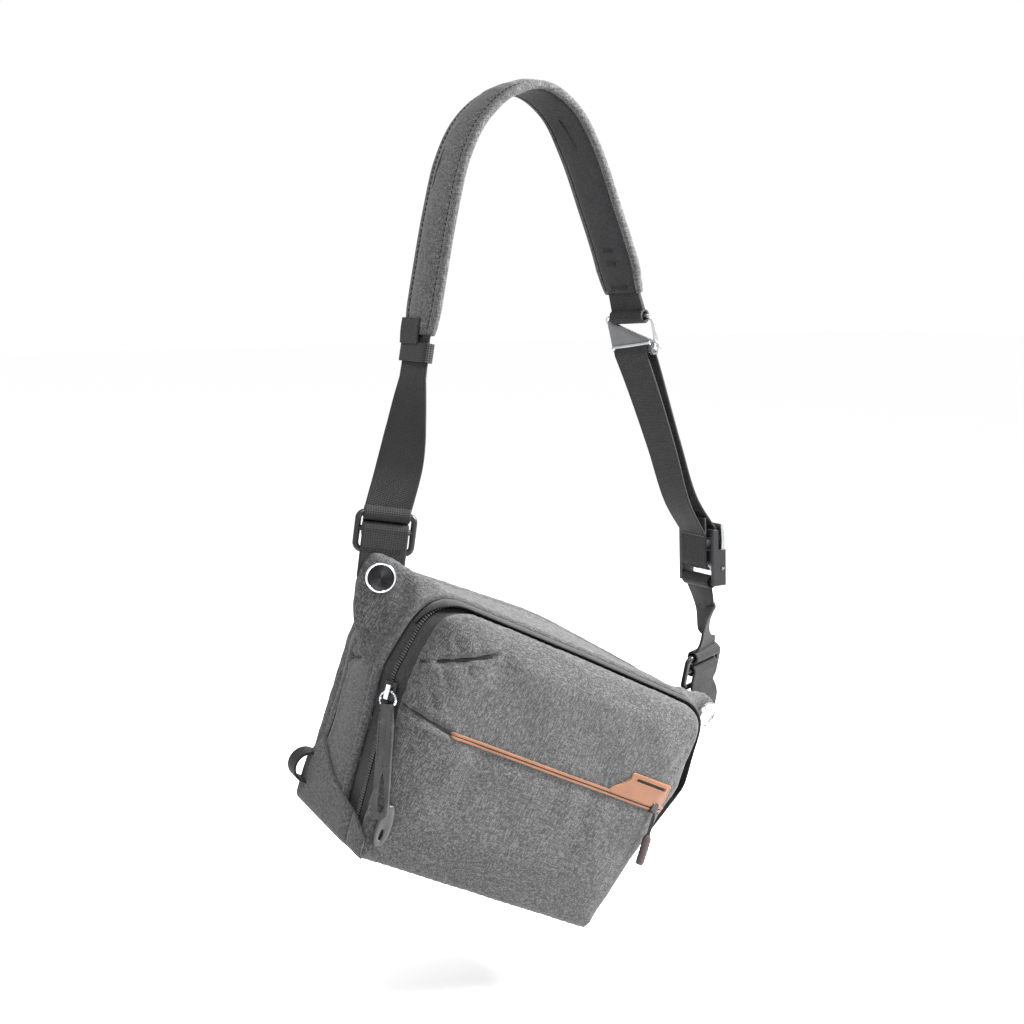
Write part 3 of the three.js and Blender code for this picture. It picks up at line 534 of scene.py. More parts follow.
def plain_cloth(name, colour, in_bag=True, grain=1500.0, bump=0.00016, sheen=0.08, rough=0.88):
    n = Nodes(name, roughness=rough, specular=0.12)
    where = n.place(in_bag)
    a = n.noise(where, (grain, grain, grain * 0.3), 2.0)
    b = n.noise(where, (grain * 0.3, grain * 0.3, grain), 2.0)
    cloud = n.noise(where, 60.0, 3.0)
    tone = n.maths("ADD", n.maths("MULTIPLY", a, 0.4), n.maths("MULTIPLY", b, 0.4))
    tone = n.maths("ADD", tone, n.maths("MULTIPLY", cloud, 0.2))
    darker = tuple(c * 0.62 for c in colour)
    lighter = tuple(min(1, c * 1.45) for c in colour)
    n.colour(n.ramp(tone, [(0.35, darker), (0.5, colour), (0.66, lighter)]))
    n.rough(n.maths("ADD", n.maths("MULTIPLY", tone, -0.2), rough + 0.1))
    n.shader.inputs["Sheen Weight"].default_value = sheen
    n.bump(tone, bump, 0.8)
    return n.material


def ribbed(name, colour, rib=1.15, across=False, sheen=0.1, rough=0.55, depth=0.0002):
    """Webbing: ribs over its width, a fine twill along it. Its UVs are millimetres."""
    n = Nodes(name, roughness=rough, specular=0.2)
    uv = n.place(uv=True)
    split = n.node("ShaderNodeSeparateXYZ")
    n.link(uv, split.inputs[0])
    u, v = split.outputs[0], split.outputs[1]
    ribs = n.maths("SINE", n.maths("MULTIPLY", v, 2 * math.pi / rib))
    cords = n.maths("SINE", n.maths("MULTIPLY", u, 2 * math.pi / 1.6))
    height = n.maths("ADD", n.maths("MULTIPLY", ribs, 0.5), n.maths("MULTIPLY", cords, 0.35))
    grain = n.noise(n.place(), 2600.0, 2.0)
    cloud = n.noise(n.place(), 90.0, 3.0)
    tone = n.maths("ADD", n.maths("MULTIPLY", height, 0.22), grain)
    tone = n.maths("ADD", tone, n.maths("MULTIPLY", n.maths("SUBTRACT", cloud, 0.5), 0.5))
    darker = tuple(c * 0.45 for c in colour)
    lighter = tuple(c * 1.9 for c in colour)
    n.colour(n.ramp(tone, [(0.25, darker), (0.5, colour), (0.8, lighter)]))
    n.rough(n.maths("ADD", n.maths("MULTIPLY", cloud, 0.25), rough - 0.1))
    n.shader.inputs["Sheen Weight"].default_value = sheen
    n.bump(n.maths("ADD", height, n.maths("MULTIPLY", grain, 0.6)), depth, 0.9)
    return n.material


def mesh_cloth(name, colour, cell=2.2):
    """Spacer mesh: small open cells over a darker ground."""
    n = Nodes(name, roughness=0.9, specular=0.2)
    where = n.place(True)
    cells = n.node("ShaderNodeTexVoronoi", feature="F1")
    cells.inputs["Scale"].default_value = 1.0
    cells.inputs["Randomness"].default_value = 0.25
    n.link(n.scaled(where, (1000 / cell, 600 / cell, 1000 / cell)), cells.inputs["Vector"])
    grain = n.noise(where, 2200.0, 2.0)
    tone = n.maths("ADD", cells.outputs["Distance"], n.maths("MULTIPLY", n.maths("SUBTRACT", grain, 0.5), 0.3))
    n.colour(n.ramp(tone, [(0.16, tuple(c * 0.18 for c in colour)), (0.38, colour), (0.7, tuple(c * 1.5 for c in colour))]))
    n.bump(tone, 0.0006, 0.9)
    return n.material


def metal(name, colour, roughness, scratches=0.12, grain=900.0, metallic=1.0, along=(1, 1, 0.05)):
    n = Nodes(name, roughness=roughness, metallic=metallic)
    where = n.place()
    lines = n.noise(where, tuple(grain * a for a in along), 3.0, 0.6)
    wear = n.noise(where, 120.0, 4.0, 0.65)
    n.colour(n.ramp(wear, [(0.3, tuple(c * 0.86 for c in colour)), (0.7, tuple(min(1, c * 1.06) for c in colour))]))
    both = n.maths("ADD", n.maths("MULTIPLY", lines, scratches), n.maths("MULTIPLY", wear, scratches))
    n.rough(n.maths("ADD", both, roughness - scratches))
    n.bump(lines, 0.00003, 0.5)
    return n.material


def turned(name, colour, roughness):
    """Metal faced on a lathe: fine rings about a centre, and a painted glint that fans out from it, as lighter wedges
    in the base colour.
    """
    n = Nodes(name, roughness=roughness, metallic=1.0)
    tangent = n.node("ShaderNodeTangent", direction_type="UV_MAP")
    n.link(tangent.outputs[0], n.shader.inputs["Tangent"])
    n.shader.inputs["Anisotropic"].default_value = 0.85
    uv = n.place(uv=True)
    rings = n.noise(uv, (0.01, 14.0, 1.0), 2.0)
    split = n.node("ShaderNodeSeparateXYZ")
    n.link(uv, split.inputs[0])
    # Painted glint: lighter wedges of base colour that fan out from the centre, standing in for the light the turned
    # face catches.
    painted_glint = n.maths("POWER", n.maths("ABSOLUTE", n.maths("SINE", n.maths("MULTIPLY", split.outputs[0], 2 * math.pi))), 6.0)
    tone = n.maths("ADD", n.maths("MULTIPLY", rings, 0.5), n.maths("MULTIPLY", painted_glint, 0.5))
    n.colour(n.ramp(tone, [(0.15, tuple(c * 0.55 for c in colour)), (0.8, tuple(min(1, c * 2.6) for c in colour))]))
    n.rough(n.maths("ADD", n.maths("MULTIPLY", rings, 0.15), roughness - 0.07))
    n.bump(rings, 0.00002, 0.4)
    return n.material


def hide(name, colour, grain=700.0, rough=0.5, depth=0.00012, wear=1.35):
    """Leather or rubberised sheet: pebbled, a little worn."""
    n = Nodes(name, roughness=rough, specular=0.4)
    where = n.place(True)
    pebble = n.node("ShaderNodeTexVoronoi", feature="SMOOTH_F1")
    pebble.inputs["Scale"].default_value = 1.0
    n.link(n.scaled(where, (grain,) * 3), pebble.inputs["Vector"])
    cloud = n.noise(where, 85.0, 4.0, 0.6)
    fine = n.noise(where, grain * 2.2, 2.0)
    tone = n.maths("ADD", n.maths("MULTIPLY", cloud, 0.65), n.maths("MULTIPLY", fine, 0.35))
    n.colour(n.ramp(tone, [(0.3, tuple(c * 0.7 for c in colour)), (0.52, colour), (0.72, tuple(min(1, c * wear) for c in colour))]))
    n.rough(n.maths("ADD", n.maths("MULTIPLY", cloud, 0.3), rough - 0.15))
    n.bump(n.maths("ADD", pebble.outputs["Distance"], fine), depth, 0.6)
    return n.material


MELANGE = heather("melange_cloth", 0.0150, 0.036, 0.086)
STRAP_MELANGE = heather("strap_melange_cloth", 0.0150, 0.036, 0.082, in_bag=False)
BAND = plain_cloth("zip_cover_cloth", (0.026, 0.026, 0.027), grain=1700.0)
DARK = plain_cloth("dark_cloth", (0.022, 0.022, 0.023), grain=1300.0)
LINING = plain_cloth("lining_cloth", (0.030, 0.030, 0.033), grain=1100.0)
STRAP_LINING = plain_cloth("strap_lining_cloth", (0.014, 0.014, 0.015), in_bag=False, grain=1100.0, bump=0.0003)
AIR_MESH = mesh_cloth("air_mesh", (0.055, 0.056, 0.058))
WEBBING = ribbed("black_webbing", (0.0085, 0.0085, 0.009), sheen=0.03, rough=0.62)
WEB_EDGE = plain_cloth("webbing_edge", (0.02, 0.02, 0.021), in_bag=False)
PULL_HIDE = hide("pull_hypalon", (0.026, 0.026, 0.027), grain=900.0, rough=0.42, wear=2.6)
TAN = hide("tan_leather", (0.140, 0.055, 0.023), grain=1400.0, rough=0.55, depth=0.00005, wear=1.18)
TAN_EDGE = hide("tan_edge", (0.20, 0.075, 0.035), grain=1400.0, rough=0.6, depth=0.00005)
BLACK_METAL = metal("black_coated_metal", (0.012, 0.012, 0.013), 0.34, scratches=0.08, metallic=0.35)
CHROME = metal("polished_chrome", (0.82, 0.83, 0.85), 0.10, scratches=0.05, grain=400.0)
ALUMINIUM = metal("brushed_aluminium", (0.46, 0.47, 0.48), 0.30, scratches=0.14)
GREY_METAL = metal("grey_anodised_metal", (0.13, 0.13, 0.135), 0.38, scratches=0.10, metallic=0.7)
RUBBER = hide("grip_rubber", (0.028, 0.018, 0.018), grain=1600.0, rough=0.6)
COIL = hide("coil_plastic", (0.055, 0.055, 0.057), grain=1600.0, rough=0.4, depth=0.00003)
THREAD = plain_cloth("grey_thread", (0.10, 0.10, 0.10), in_bag=False, grain=2500.0)
DARK_THREAD = plain_cloth("dark_thread", (0.012, 0.012, 0.012), in_bag=False, grain=2500.0)
FLOOR = Nodes("pale_floor", roughness=0.95, specular=0.1)
FLOOR.shader.inputs["Base Color"].default_value = (0.99, 0.99, 0.99, 1)

def piece(obj, body, slot, *replaced):
    """Hangs a piece on the body it rides on and hides the CAD nodes it stands for. slot is not used."""
    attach(obj, body)
    for node in replaced:
        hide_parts(node)
    return obj


# ---------------------------------------------------------------- camera, light and stage
def aim(obj, eye, forward, right):
    back = -Vector(forward).normalized()
    side = Vector(right).normalized()
    up = back.cross(side)
    obj.matrix_world = Matrix.Translation(Vector(eye)) @ Matrix((side, up, back)).transposed().to_4x4()


camera_data = bpy.data.cameras.new("camera")
camera = bpy.data.objects.new("camera", camera_data)
scene.collection.objects.link(camera)
scene.camera = camera
camera_data.sensor_width = 36
camera_data.lens = 63.28
aim(camera, (-0.67598, -1.05704, -0.11117), (0.5250513, 0.83961419, -0.1391731), (0.847865556, -0.530211278, 0))


def area_light(name, place, target, power, size, colour=(1, 1, 1)):
    data = bpy.data.lights.new(name, "AREA")
    data.shape = "RECTANGLE"
    data.size, data.size_y = size
    data.energy = power
    data.color = colour
    obj = bpy.data.objects.new(name, data)
    scene.collection.objects.link(obj)
    forward = (Vector(target) - Vector(place)).normalized()
    aim(obj, place, forward, forward.cross(Vector((0, 0, 1))))
    return obj


MIDDLE_OF_BAG = (0, 0, -0.42)
area_light("key_softbox", (0.50, -0.36, 0.16), (0.05, -0.05, -0.36), 35, (0.3, 0.3))
area_light("strap_softbox", (-0.45, -0.45, 0.42), (-0.07, 0, -0.03), 9, (0.25, 0.25))
area_light("fill_softbox", (-1.9, -1.0, 0.1), MIDDLE_OF_BAG, 2, (1.3, 1.3))
area_light("rim_softbox", (0.9, 1.3, 0.5), MIDDLE_OF_BAG, 16, (0.8, 1.2))

world = bpy.data.worlds.new("studio")
scene.world = world
world.use_nodes = True
sky = world.node_tree.nodes["Background"]
sky.inputs["Color"].default_value = (1, 1, 1, 1)
sky.inputs["Strength"].default_value = 1.0
scene.view_settings.view_transform = "Standard"

FLOOR_Z = -0.64
floor = new_object(
    "studio_floor",
    [(-9000, -9000, FLOOR_Z / MM), (9000, -9000, FLOOR_Z / MM), (9000, 9000, FLOOR_Z / MM), (-9000, 9000, FLOOR_Z / MM)],
    [(0, 1, 2, 3)],
    FLOOR.material,
    smooth=False,
)


# ---------------------------------------------------------------- bag body
def lip_depth(flat):
    """The front edge of the body: it draws back towards the feet."""
    x, z = flat[:, 0], flat[:, 1]
    low = np.clip((105 - z) / 80, 0, 1)
    return LIP_Y - 1 + 8 * low * low * (3 - 2 * low)


def body_form():
    back = [(-12.3, BACK, 1.5), (-14, BACK, 0.0), (-20, mix_sections(BACK, MIDDLE, 0.35), 0.0), (-40, MIDDLE, 0.0), (-60, mix_sections(MIDDLE, LIP, 0.7), 0.0)]
    rings = [ring_at(section, y, inset) for y, section, inset in back]
    rings.append(ring_at(LIP, lambda flat: lip_depth(flat) + 4, 0.0))
    rings.append(ring_at(LIP, lambda flat: lip_depth(flat) + 1, 1.2))
    rings.append(ring_at(LIP, lip_depth, 3.6))
    return loft("body_form", rings, MELANGE, BAG)


def wing_matrix(sign):
    return BAG @ Matrix.Translation(Vector((sign * HUB_X, HUB_Y, HUB_Z))) @ Matrix.Rotation(sign * SPLAY, 4, "Z")


def wing_form(sign):
    """A wing's padded tongue, thick in its middle and thin at its edge."""
    corners = [(14.6, 9), (12, 14.4), (4, 15.8), (-8, 15.4), (-20, 14), (-40, 12.5), (-44, -46), (-17, -57), (-6, -50), (3, -38), (10, -26), (13.8, -12), (15.2, 0)]
    path = smooth_path([(x, 0, z) for x, z in corners + corners[:1]], 97)[:-1]
    centre = np.array([-14, 0, -12])
    rings = []
    for y, scale in ((4.6, 0.90), (4.2, 0.955), (2.4, 0.99), (0, 1.0), (-2.4, 0.99), (-4.2, 0.955), (-4.6, 0.90)):
        ring = centre + (path - centre) * scale
        ring[:, 0] *= sign
        ring[:, 1] = y
        rings.append(ring if sign > 0 else ring[::-1])
    return loft("wing_form", rings, MELANGE, wing_matrix(sign))


def in_wing(local, sign):
    """How far a bag point lies out along a wing: 0 in the body, 1 at the hub."""
    return np.clip((sign * local[:, 0] - 112) / 30, 0, 1) * np.clip((local[:, 2] - 96) / 34, 0, 1)


body = joined("bag_body_shell", [body_form(), wing_form(-1), wing_form(1)])
remesh(body, 3.4)
relax(body, 14, 0.5, lambda p: np.maximum(in_wing(p, -1), in_wing(p, 1)) * np.clip((np.hypot(np.abs(p[:, 0]) - HUB_X, p[:, 2] - HUB_Z) - 16) / 12, 0, 1))
relax(body, 3, 0.4)


WRAP_TOP = [(6, 8), (3.5, 12), (-0.6, 27), (-10.7, 41), (-21.3, 51), (-36, 42), (-50, 33.6), (-75, 27.5), (-95, 19), (-104, 12)]


def wrap_height(y):
    """The upper edge of an end wrap at a depth."""
    ys, zs = np.array(WRAP_TOP, float).T
    return np.interp(-y, -ys, zs)


def body_pins(p):
    rim = np.clip((-68 - p[:, 1]) / 6, 0, 1) + np.clip((p[:, 1] + 18) / 4, 0, 1)
    wing = np.maximum(in_wing(p, -1), in_wing(p, 1))
    base = np.clip((wrap_height(p[:, 1]) + 4 - p[:, 2]) / 8, 0, 1)
    return np.clip(rim + wing + base, 0, 1)


cloth(body, 2.2, 3.0, 16, body_pins)


def open_front(obj):
    """Takes the closed ends off the body, which leaves the opening and its rolled lip."""
    bm = bmesh.new()
    bm.from_mesh(obj.data)
    inverse = BAG.inverted()
    middle = outline(mix_sections(MIDDLE, LIP, 0.8), 5.2)
    shape = [Vector((x, z)) for x, z in middle[::4]]

    def inside(x, z):
        hit = False
        for a, b in zip(shape, shape[1:] + shape[:1]):
            if (a.y > z) != (b.y > z) and x < a.x + (z - a.y) / (b.y - a.y) * (b.x - a.x):
                hit = not hit
        return hit

    doomed = []
    for face in bm.faces:
        c = inverse @ (face.calc_center_median() / MM)
        if (c.y < -62 or c.y > -16) and inside(c.x, c.z):
            doomed.append(face)
    bmesh.ops.delete(bm, geom=doomed, context="FACES")
    bm.to_mesh(obj.data)
    bm.free()
    return obj


open_front(body)
subdivide(body, 1)
relax(body, 2, 0.35)

# Wrinkles, hollows and seams of the body.
local = to_bag(coords(body))
body_tree = surface_of(body)
SIDE_SEAM = [(-140.4, -96, 133.7), (-137, -61.6, 120.6), (-134.4, -27, 109.5)]
END_SEAM = [(-141, -30, 150), (-139, -29, 134), (-137.1, -27.4, 120.2), (-132.7, -25.7, 102.7), (-126.5, -26.5, 78), (-122.8, -24.8, 63.1), (-119.7, -21.3, 51)]


def mirror(points):
    return [(-x, y, z) for x, y, z in points]


seam_pieces = []
for seam, depth, width in ((SIDE_SEAM, 2.0, 2.0), (END_SEAM, 1.8, 2.0), (mirror(SIDE_SEAM), 2.0, 2.0), (mirror(END_SEAM), 1.8, 2.0)):
    on_body, facing = onto(body_tree, densify(smooth_path(seam, 40), 2))
    on_body = eased(on_body)
    groove(body, on_body, depth, width, puff=0.7)
    seam_pieces.append(on_body - facing * depth * 0.42)


def swell(obj, rule):
    """Moves each point along its normal by rule(bag points) millimetres."""
    co = coords(obj)
    amount = rule(to_bag(co))
    set_coords(obj, co + normals(obj) * (amount * MM)[:, None])


def bump_at(p, centre, size):
    d = (p - np.array(centre)) / np.array(size)
    return np.exp(-(d * d).sum(1))


def waves(p, direction, length, phase=0.0):
    d = np.array(direction, float)
    d /= np.linalg.norm(d)
    return np.sin(2 * math.pi * (p @ d) / length + phase)


def body_folds(p):
    left_end = bump_at(p, (-138, -50, 88), (20, 26, 30))
    right_end = bump_at(p, (138, -50, 88), (20, 26, 30))
    lobe = bump_at(p, (-142, -14, 136), (9, 12, 20)) + bump_at(p, (142, -14, 136), (9, 12, 20))
    top_sag = bump_at(p, (-70, -50, 186), (46, 30, 12)) + bump_at(p, (80, -50, 186), (40, 30, 12))
    pull = bump_at(p, (-128, -60, 160), (18, 16, 26)) * waves(p, (0.8, -0.2, 0.55), 19)
    pull_right = bump_at(p, (122, -60, 168), (18, 16, 20)) * waves(p, (0.8, 0.2, -0.6), 17)
    small = waves(p, (0.3, 1, 0.9), 31, 0.6) * waves(p, (1, 0.2, 0.3), 57) * np.clip((100 - np.abs(p[:, 2] - 120)) / 100, 0, 1)
    return 1.4 * left_end + 1.4 * right_end + 2.6 * lobe - 1.8 * top_sag + 0.9 * pull + 0.9 * pull_right + 0.35 * small


swell(body, body_folds)
piece(body, "bag_body", "melange_fabric", "body_shell", "wing_left", "wing_right", "end_wrap_left", "end_wrap_right")

for name, on_body in zip(("side_seam_left", "end_seam_left", "side_seam_right", "end_seam_right"), seam_pieces):
    thread = tube(name, eased(on_body), 0.55, DARK_THREAD, BAG, 6)
    piece(thread, "bag_body", "dark_fabric")
body_tree = surface_of(body)


# ---------------------------------------------------------------- zip gussets, coil and cover
def zip_path(inset, y):
    """The zip's line up the left side, over the top and down the right side, foot to foot."""
    ring = ring_at(ZIP, y, inset)
    n = len(ring)
    start = int(np.argmin(np.hypot(ring[:, 0] - 104, ring[:, 2] - 12)))
    end = int(np.argmin(np.hypot(ring[:, 0] + 104, ring[:, 2] - 12)))
    return ring[start : end + 1][::-1]


def band(name, profile, material, thick=0.8):
    """A strip round the bag's opening. profile gives [y, section, inset] across its width."""
    rows = []
    for y, section, inset in profile:
        rows.append(ring_at(section, y, inset))
    for y, section, inset in reversed(profile):
        rows.append(ring_at(section, y, inset + thick))
    return loft(name, rows, material, BAG, caps=False, closed_rows=True)


def lip_at(offset):
    return lambda flat: lip_depth(flat) + offset


gusset_body = band(
    "zip_tape_body",
    [
        (lip_at(5.5), LIP, 4.6),
        (lip_at(1.5), LIP, 5.4),
        (-77.5, mix_sections(LIP, ZIP, 0.3), 6.3),
        (-80.0, mix_sections(LIP, ZIP, 0.7), 5.6),
        (-82.0, ZIP, 4.6),
        (-83.4, ZIP, 4.4),
    ],
    BAND,
)
piece(gusset_body, "bag_body", "dark_fabric", "zip_gusset_body")
gusset_hatch = band(
    "zip_tape_hatch",
    [
        (-84.6, ZIP, 4.4),
        (-86.0, ZIP, 4.6),
        (-88.0, mix_sections(ZIP, FRONT, 0.5), 4.2),
        (-91.0, FRONT, 3.4),
        (-94.0, FRONT, 2.6),
    ],
    BAND,
)
piece(gusset_hatch, "hatch", "dark_fabric", "zip_gusset_hatch")


def lip_roll():
    """The body's rolled front edge, which hides the cut of its cloth."""
    line = ring_at(LIP, lip_at(1.2), 2.2)
    keep = np.array([p for p in line if p[2] > 4])
    start = int(np.argmax(np.linalg.norm(np.diff(np.vstack([keep, keep[:1]]), axis=0), axis=1))) + 1
    keep = np.roll(keep, -start, axis=0)
    return tube("body_lip_roll", eased(keep, 10), 3.1, MELANGE, BAG, 14)


piece(lip_roll(), "bag_body", "melange_fabric")


def coil(name, y, way, body_name, node):
    """One half of the zip: a row of rounded teeth on a cord."""
    line = zip_path(3.3, y)
    run = np.concatenate([[0], np.cumsum(np.linalg.norm(np.diff(line, axis=0), axis=1))])
    outer = zip_path(0.0, y) - zip_path(3.3, y)
    outer /= np.linalg.norm(outer, axis=1)[:, None]
    verts, faces = [], []
    for k, s in enumerate(np.arange(1, run[-1] - 1, 1.9)):
        p = np.array([np.interp(s, run, line[:, i]) for i in range(3)])
        ahead = np.array([np.interp(s + 0.5, run, line[:, i]) for i in range(3)])
        t = ahead - p
        t /= np.linalg.norm(t) + 1e-9
        up = np.array([np.interp(s, run, outer[:, i]) for i in range(3)])
        side = np.array([0, way, 0.0])
        base = len(verts)
        for f, w, h in ((-1.5, 0.30, 0.25), (-0.9, 0.48, 0.9), (0.2, 0.5, 1.0), (0.9, 0.62, 0.8), (1.15, 0.35, 0.3)):
            for a in range(8):
                angle = a * math.pi / 4
                verts.append(p - side * f + t * w * math.cos(angle) * 1.05 + up * (0.55 + h * 0.7 * math.sin(angle)))
        for r in range(4):
            for a in range(8):
                b = (a + 1) % 8
                faces.append((base + r * 8 + a, base + r * 8 + b, base + r * 8 + 8 + b, base + r * 8 + 8 + a))
        faces.append(tuple(base + a for a in range(8))[::-1])
        faces.append(tuple(base + 32 + a for a in range(8)))
    obj = new_object(name, verts, faces, COIL, BAG)
    return piece(obj, body_name, "coil_plastic", node)


coil("zip_teeth_body", -83.2, 1, "bag_body", "zip_coil_body")
coil("zip_teeth_hatch", -84.9, -1, "hatch", "zip_coil_hatch")


def cover_flap():
    """The strip that covers the zip along the top, and runs out where the teeth show."""
    cross = [(-77.0, 4.2), (-78.4, 1.9), (-81.0, 0.6), (-84.5, 0.2), (-88.6, 0.6), (-90.4, 1.6)]
    outer = [ring_at(mix_sections(LIP, ZIP, 0.6), y, inset) for y, inset in cross]
    inner = [ring_at(mix_sections(LIP, ZIP, 0.6), y, inset + 0.9) for y, inset in reversed(cross)]
    rows = np.array(outer + inner)
    flat = rows[3]
    start = int(np.argmin(np.hypot(flat[:, 0] - 124, flat[:, 2] - 70)))
    end = int(np.argmin(np.hypot(flat[:, 0] + 126, flat[:, 2] - 157)))
    path = rows[:, start : end + 1].transpose(1, 0, 2)
    for k in range(14):
        t = k / 14
        narrow = path[-1 - k]
        middle = narrow[0] * 0.9 + narrow[-1] * 0.1
        path[-1 - k] = middle + (narrow - middle) * (0.25 + 0.75 * t)
    return loft("zip_cover_flap", list(path), BAND, BAG)


flap = cover_flap()
piece(flap, "bag_body", "dark_fabric")


# ---------------------------------------------------------------- front panel
def hatch_form():
    rings = [
        ring_at(FRONT, -90.2, 3.0),
        ring_at(FRONT, -91.5, 1.0),
        ring_at(FRONT, -94.0, 0.0),
        ring_at(FRONT, -97.0, 0.2),
        ring_at(FRONT, -99.6, 1.4),
        ring_at(FRONT, -101.4, 3.8),
        ring_at(FRONT, -102.6, 8.0),
    ]
    return loft("front_panel", rings, MELANGE, BAG)


hatch = hatch_form()
remesh(hatch, 3.2)
relax(hatch, 2, 0.4)
local = to_bag(coords(hatch))
low = np.clip((12 - local[:, 2]) / 12, 0, 1)
local[:, 2] -= 3.2 * low
local[:, 0] *= 1 + 0.022 * low
set_coords(hatch, from_bag(local))


def hatch_pins(p):
    behind = np.clip((p[:, 1] + 93) / 2, 0, 1)
    base = np.clip((5 - p[:, 2]) / 4, 0, 1)
    return np.clip(behind + base, 0, 1)


cloth(hatch, 2.6, 3.2, 16, hatch_pins)
subdivide(hatch, 1)
POCKET_Z = 98.0
DART = [(-127, -97, 135.0), (-112, -103, 141.5), (-96, -103, 149.5), (-84, -103, 156), (-79.5, -103, 158.5)]
POCKET_SEAM = [(-121, -96, 104.5), (-112, -103, 103.2), (-98, -103, 101.6), (-84, -103, 99.4)]


def front_only(p):
    return np.clip((-96 - p[:, 1]) / 4, 0, 1)


def inner_distance(p):
    """Roughly how far a point of the front lies in from the panel's edge."""
    side = (103 + 21 * np.clip(p[:, 2] / 120, 0, 1)) - np.abs(p[:, 0])
    return np.clip(np.minimum(side, 178 - p[:, 2]), 0, 60)


def hatch_folds(p):
    x, z = p[:, 0], p[:, 2]
    front = front_only(p)
    dome = 2.6 * (1 - np.exp(-inner_distance(p) / 22)) * np.clip(z / 30, 0, 1)
    above = bump_at(p, (-96, -103, 163), (30, 60, 11))
    below = bump_at(p, (-104, -103, 133), (22, 60, 13))
    past_tip = bump_at(p, (-70, -103, 153), (9, 60, 9))
    shade = bump_at(p, (-58, -103, 128), (26, 60, 22))
    below_trim = np.clip((POCKET_Z - z) / 1.5, 0, 1)
    lower = 1.0 * below_trim * np.clip((124 - np.abs(x)) / 10, 0, 1)
    under = -1.2 * below_trim * np.exp(-(((z - 94) / 5) ** 2)) * np.clip((x + 90) / 20, 0, 1)
    drape = below_trim * np.exp(-((z - 78) / 26) ** 2)
    folds = drape * (
        1.5 * np.exp(-(((x + 70 + (90 - z) * 0.25) / 9) ** 2))
        - 1.4 * np.exp(-(((x + 52 + (90 - z) * 0.2) / 9) ** 2))
        + 0.8 * np.exp(-(((x - 30 - (90 - z) * 0.1) / 8) ** 2))
        - 0.9 * np.exp(-(((x - 46) / 6) ** 2))
        + 0.8 * np.exp(-(((x - 62) / 7) ** 2))
    )
    quiet = 0.35 * waves(p, (1, 0, 0.35), 63) * waves(p, (0.2, 0, 1), 71, 1.0)
    return front * (dome + 2.4 * above + 1.6 * below - 2.4 * past_tip - 1.6 * shade + lower + under + folds + quiet)


swell(hatch, hatch_folds)
subdivide(hatch, 1)
hatch_tree = surface_of(hatch)
dart_line, facing = onto(hatch_tree, densify(smooth_path(DART, 30), 1.5))
dart_line = eased(dart_line)
groove(hatch, dart_line, 2.6, 1.9, puff=0.6)
dart_thread = tube("dart_seam", eased(dart_line - facing * 0.75), 0.6, DARK_THREAD, BAG, 6)
pocket_line, facing = onto(hatch_tree, densify(smooth_path(POCKET_SEAM, 30), 1.5))
pocket_line = eased(pocket_line)
groove(hatch, pocket_line, 1.7, 1.7, puff=0.5)
pocket_thread = tube("pocket_seam", eased(pocket_line - facing * 0.45), 0.55, DARK_THREAD, BAG, 6)
hatch_tree = surface_of(hatch)
piece(hatch, "hatch", "melange_fabric", "hatch_panel", "pocket_panel")
piece(dart_thread, "hatch", "dark_fabric")
piece(pocket_thread, "hatch", "dark_fabric")


# ---------------------------------------------------------------- shapes that lie on a surface
def on_front(points, lift=0.0, tree=None):
    """Points [x, z] dropped on the front panel from in front, in bag millimetres, and normals."""
    tree = tree or hatch_tree
    way = Vector(BAG_R @ np.array((0, 1, 0)))
    places, facing = [], []
    for x, z in points:
        start = Vector(from_bag(np.array([(x, -140.0, z)]))[0])
        hit, no, _, _ = tree.ray_cast(start, way)
        if hit is None:
            hit, no, _, _ = tree.find_nearest(Vector(from_bag(np.array([(x, -103.0, z)]))[0]))
        places.append(hit)
        facing.append(no if no.dot(way) < 0 else -no)
    facing = np.array(facing) @ BAG_R
    return to_bag(np.array(places)) + facing * lift, facing


def sheet_on(name, rows, cols, place, thick, material, matrix=BAG, edge=0.5):
    """A sheet on a grid: place(u, v) gives points and normals. Its edges are rounded down."""
    u, v = np.meshgrid(np.linspace(0, 1, cols), np.linspace(0, 1, rows))
    points, facing = place(u.ravel(), v.ravel())
    points, facing = points.reshape(rows, cols, 3), facing.reshape(rows, cols, 3)
    height = np.full((rows, cols), float(thick))
    for k in (0, -1):
        height[k, :] = height[:, k] = thick * edge
    top = points + facing * height[:, :, None]
    low = points - facing * 0.4
    verts = np.concatenate([top.reshape(-1, 3), low.reshape(-1, 3)])
    n = rows * cols
    faces = []
    for r in range(rows - 1):
        for c in range(cols - 1):
            a = r * cols + c
            faces.append((a, a + 1, a + cols + 1, a + cols))
            faces.append((n + a, n + a + cols, n + a + cols + 1, n + a + 1))
    for c in range(cols - 1):
        faces.append((c, n + c, n + c + 1, c + 1))
        a = (rows - 1) * cols + c
        faces.append((a, a + 1, n + a + 1, n + a))
    for r in range(rows - 1):
        a, b = r * cols, r * cols + cols - 1
        faces.append((a, a + cols, n + a + cols, n + a))
        faces.append((b, n + b, n + b + cols, b + cols))
    return new_object(name, verts, faces, material, matrix)


def strip(name, line, facing, width, thick, material, matrix=BAG, crown=0.0, uv=None):
    """A flat strip along a line that lies on a surface."""
    line, facing = np.asarray(line), np.asarray(facing)
    along = np.gradient(line, axis=0)
    along /= np.linalg.norm(along, axis=1)[:, None] + 1e-9
    side = np.cross(along, facing)
    side /= np.linalg.norm(side, axis=1)[:, None] + 1e-9
    profile = []
    for f in (-1.0, -0.94, -0.6, 0.0, 0.6, 0.94, 1.0):
        profile.append((f, thick * (0.55 if abs(f) == 1 else 1) + crown * (1 - f * f)))
    profile += [(1.0, -0.4), (-1.0, -0.4)]
    rings = []
    for i in range(len(line)):
        rings.append([line[i] + side[i] * f * width / 2 + facing[i] * h for f, h in profile])
    return loft(name, rings, material, matrix)


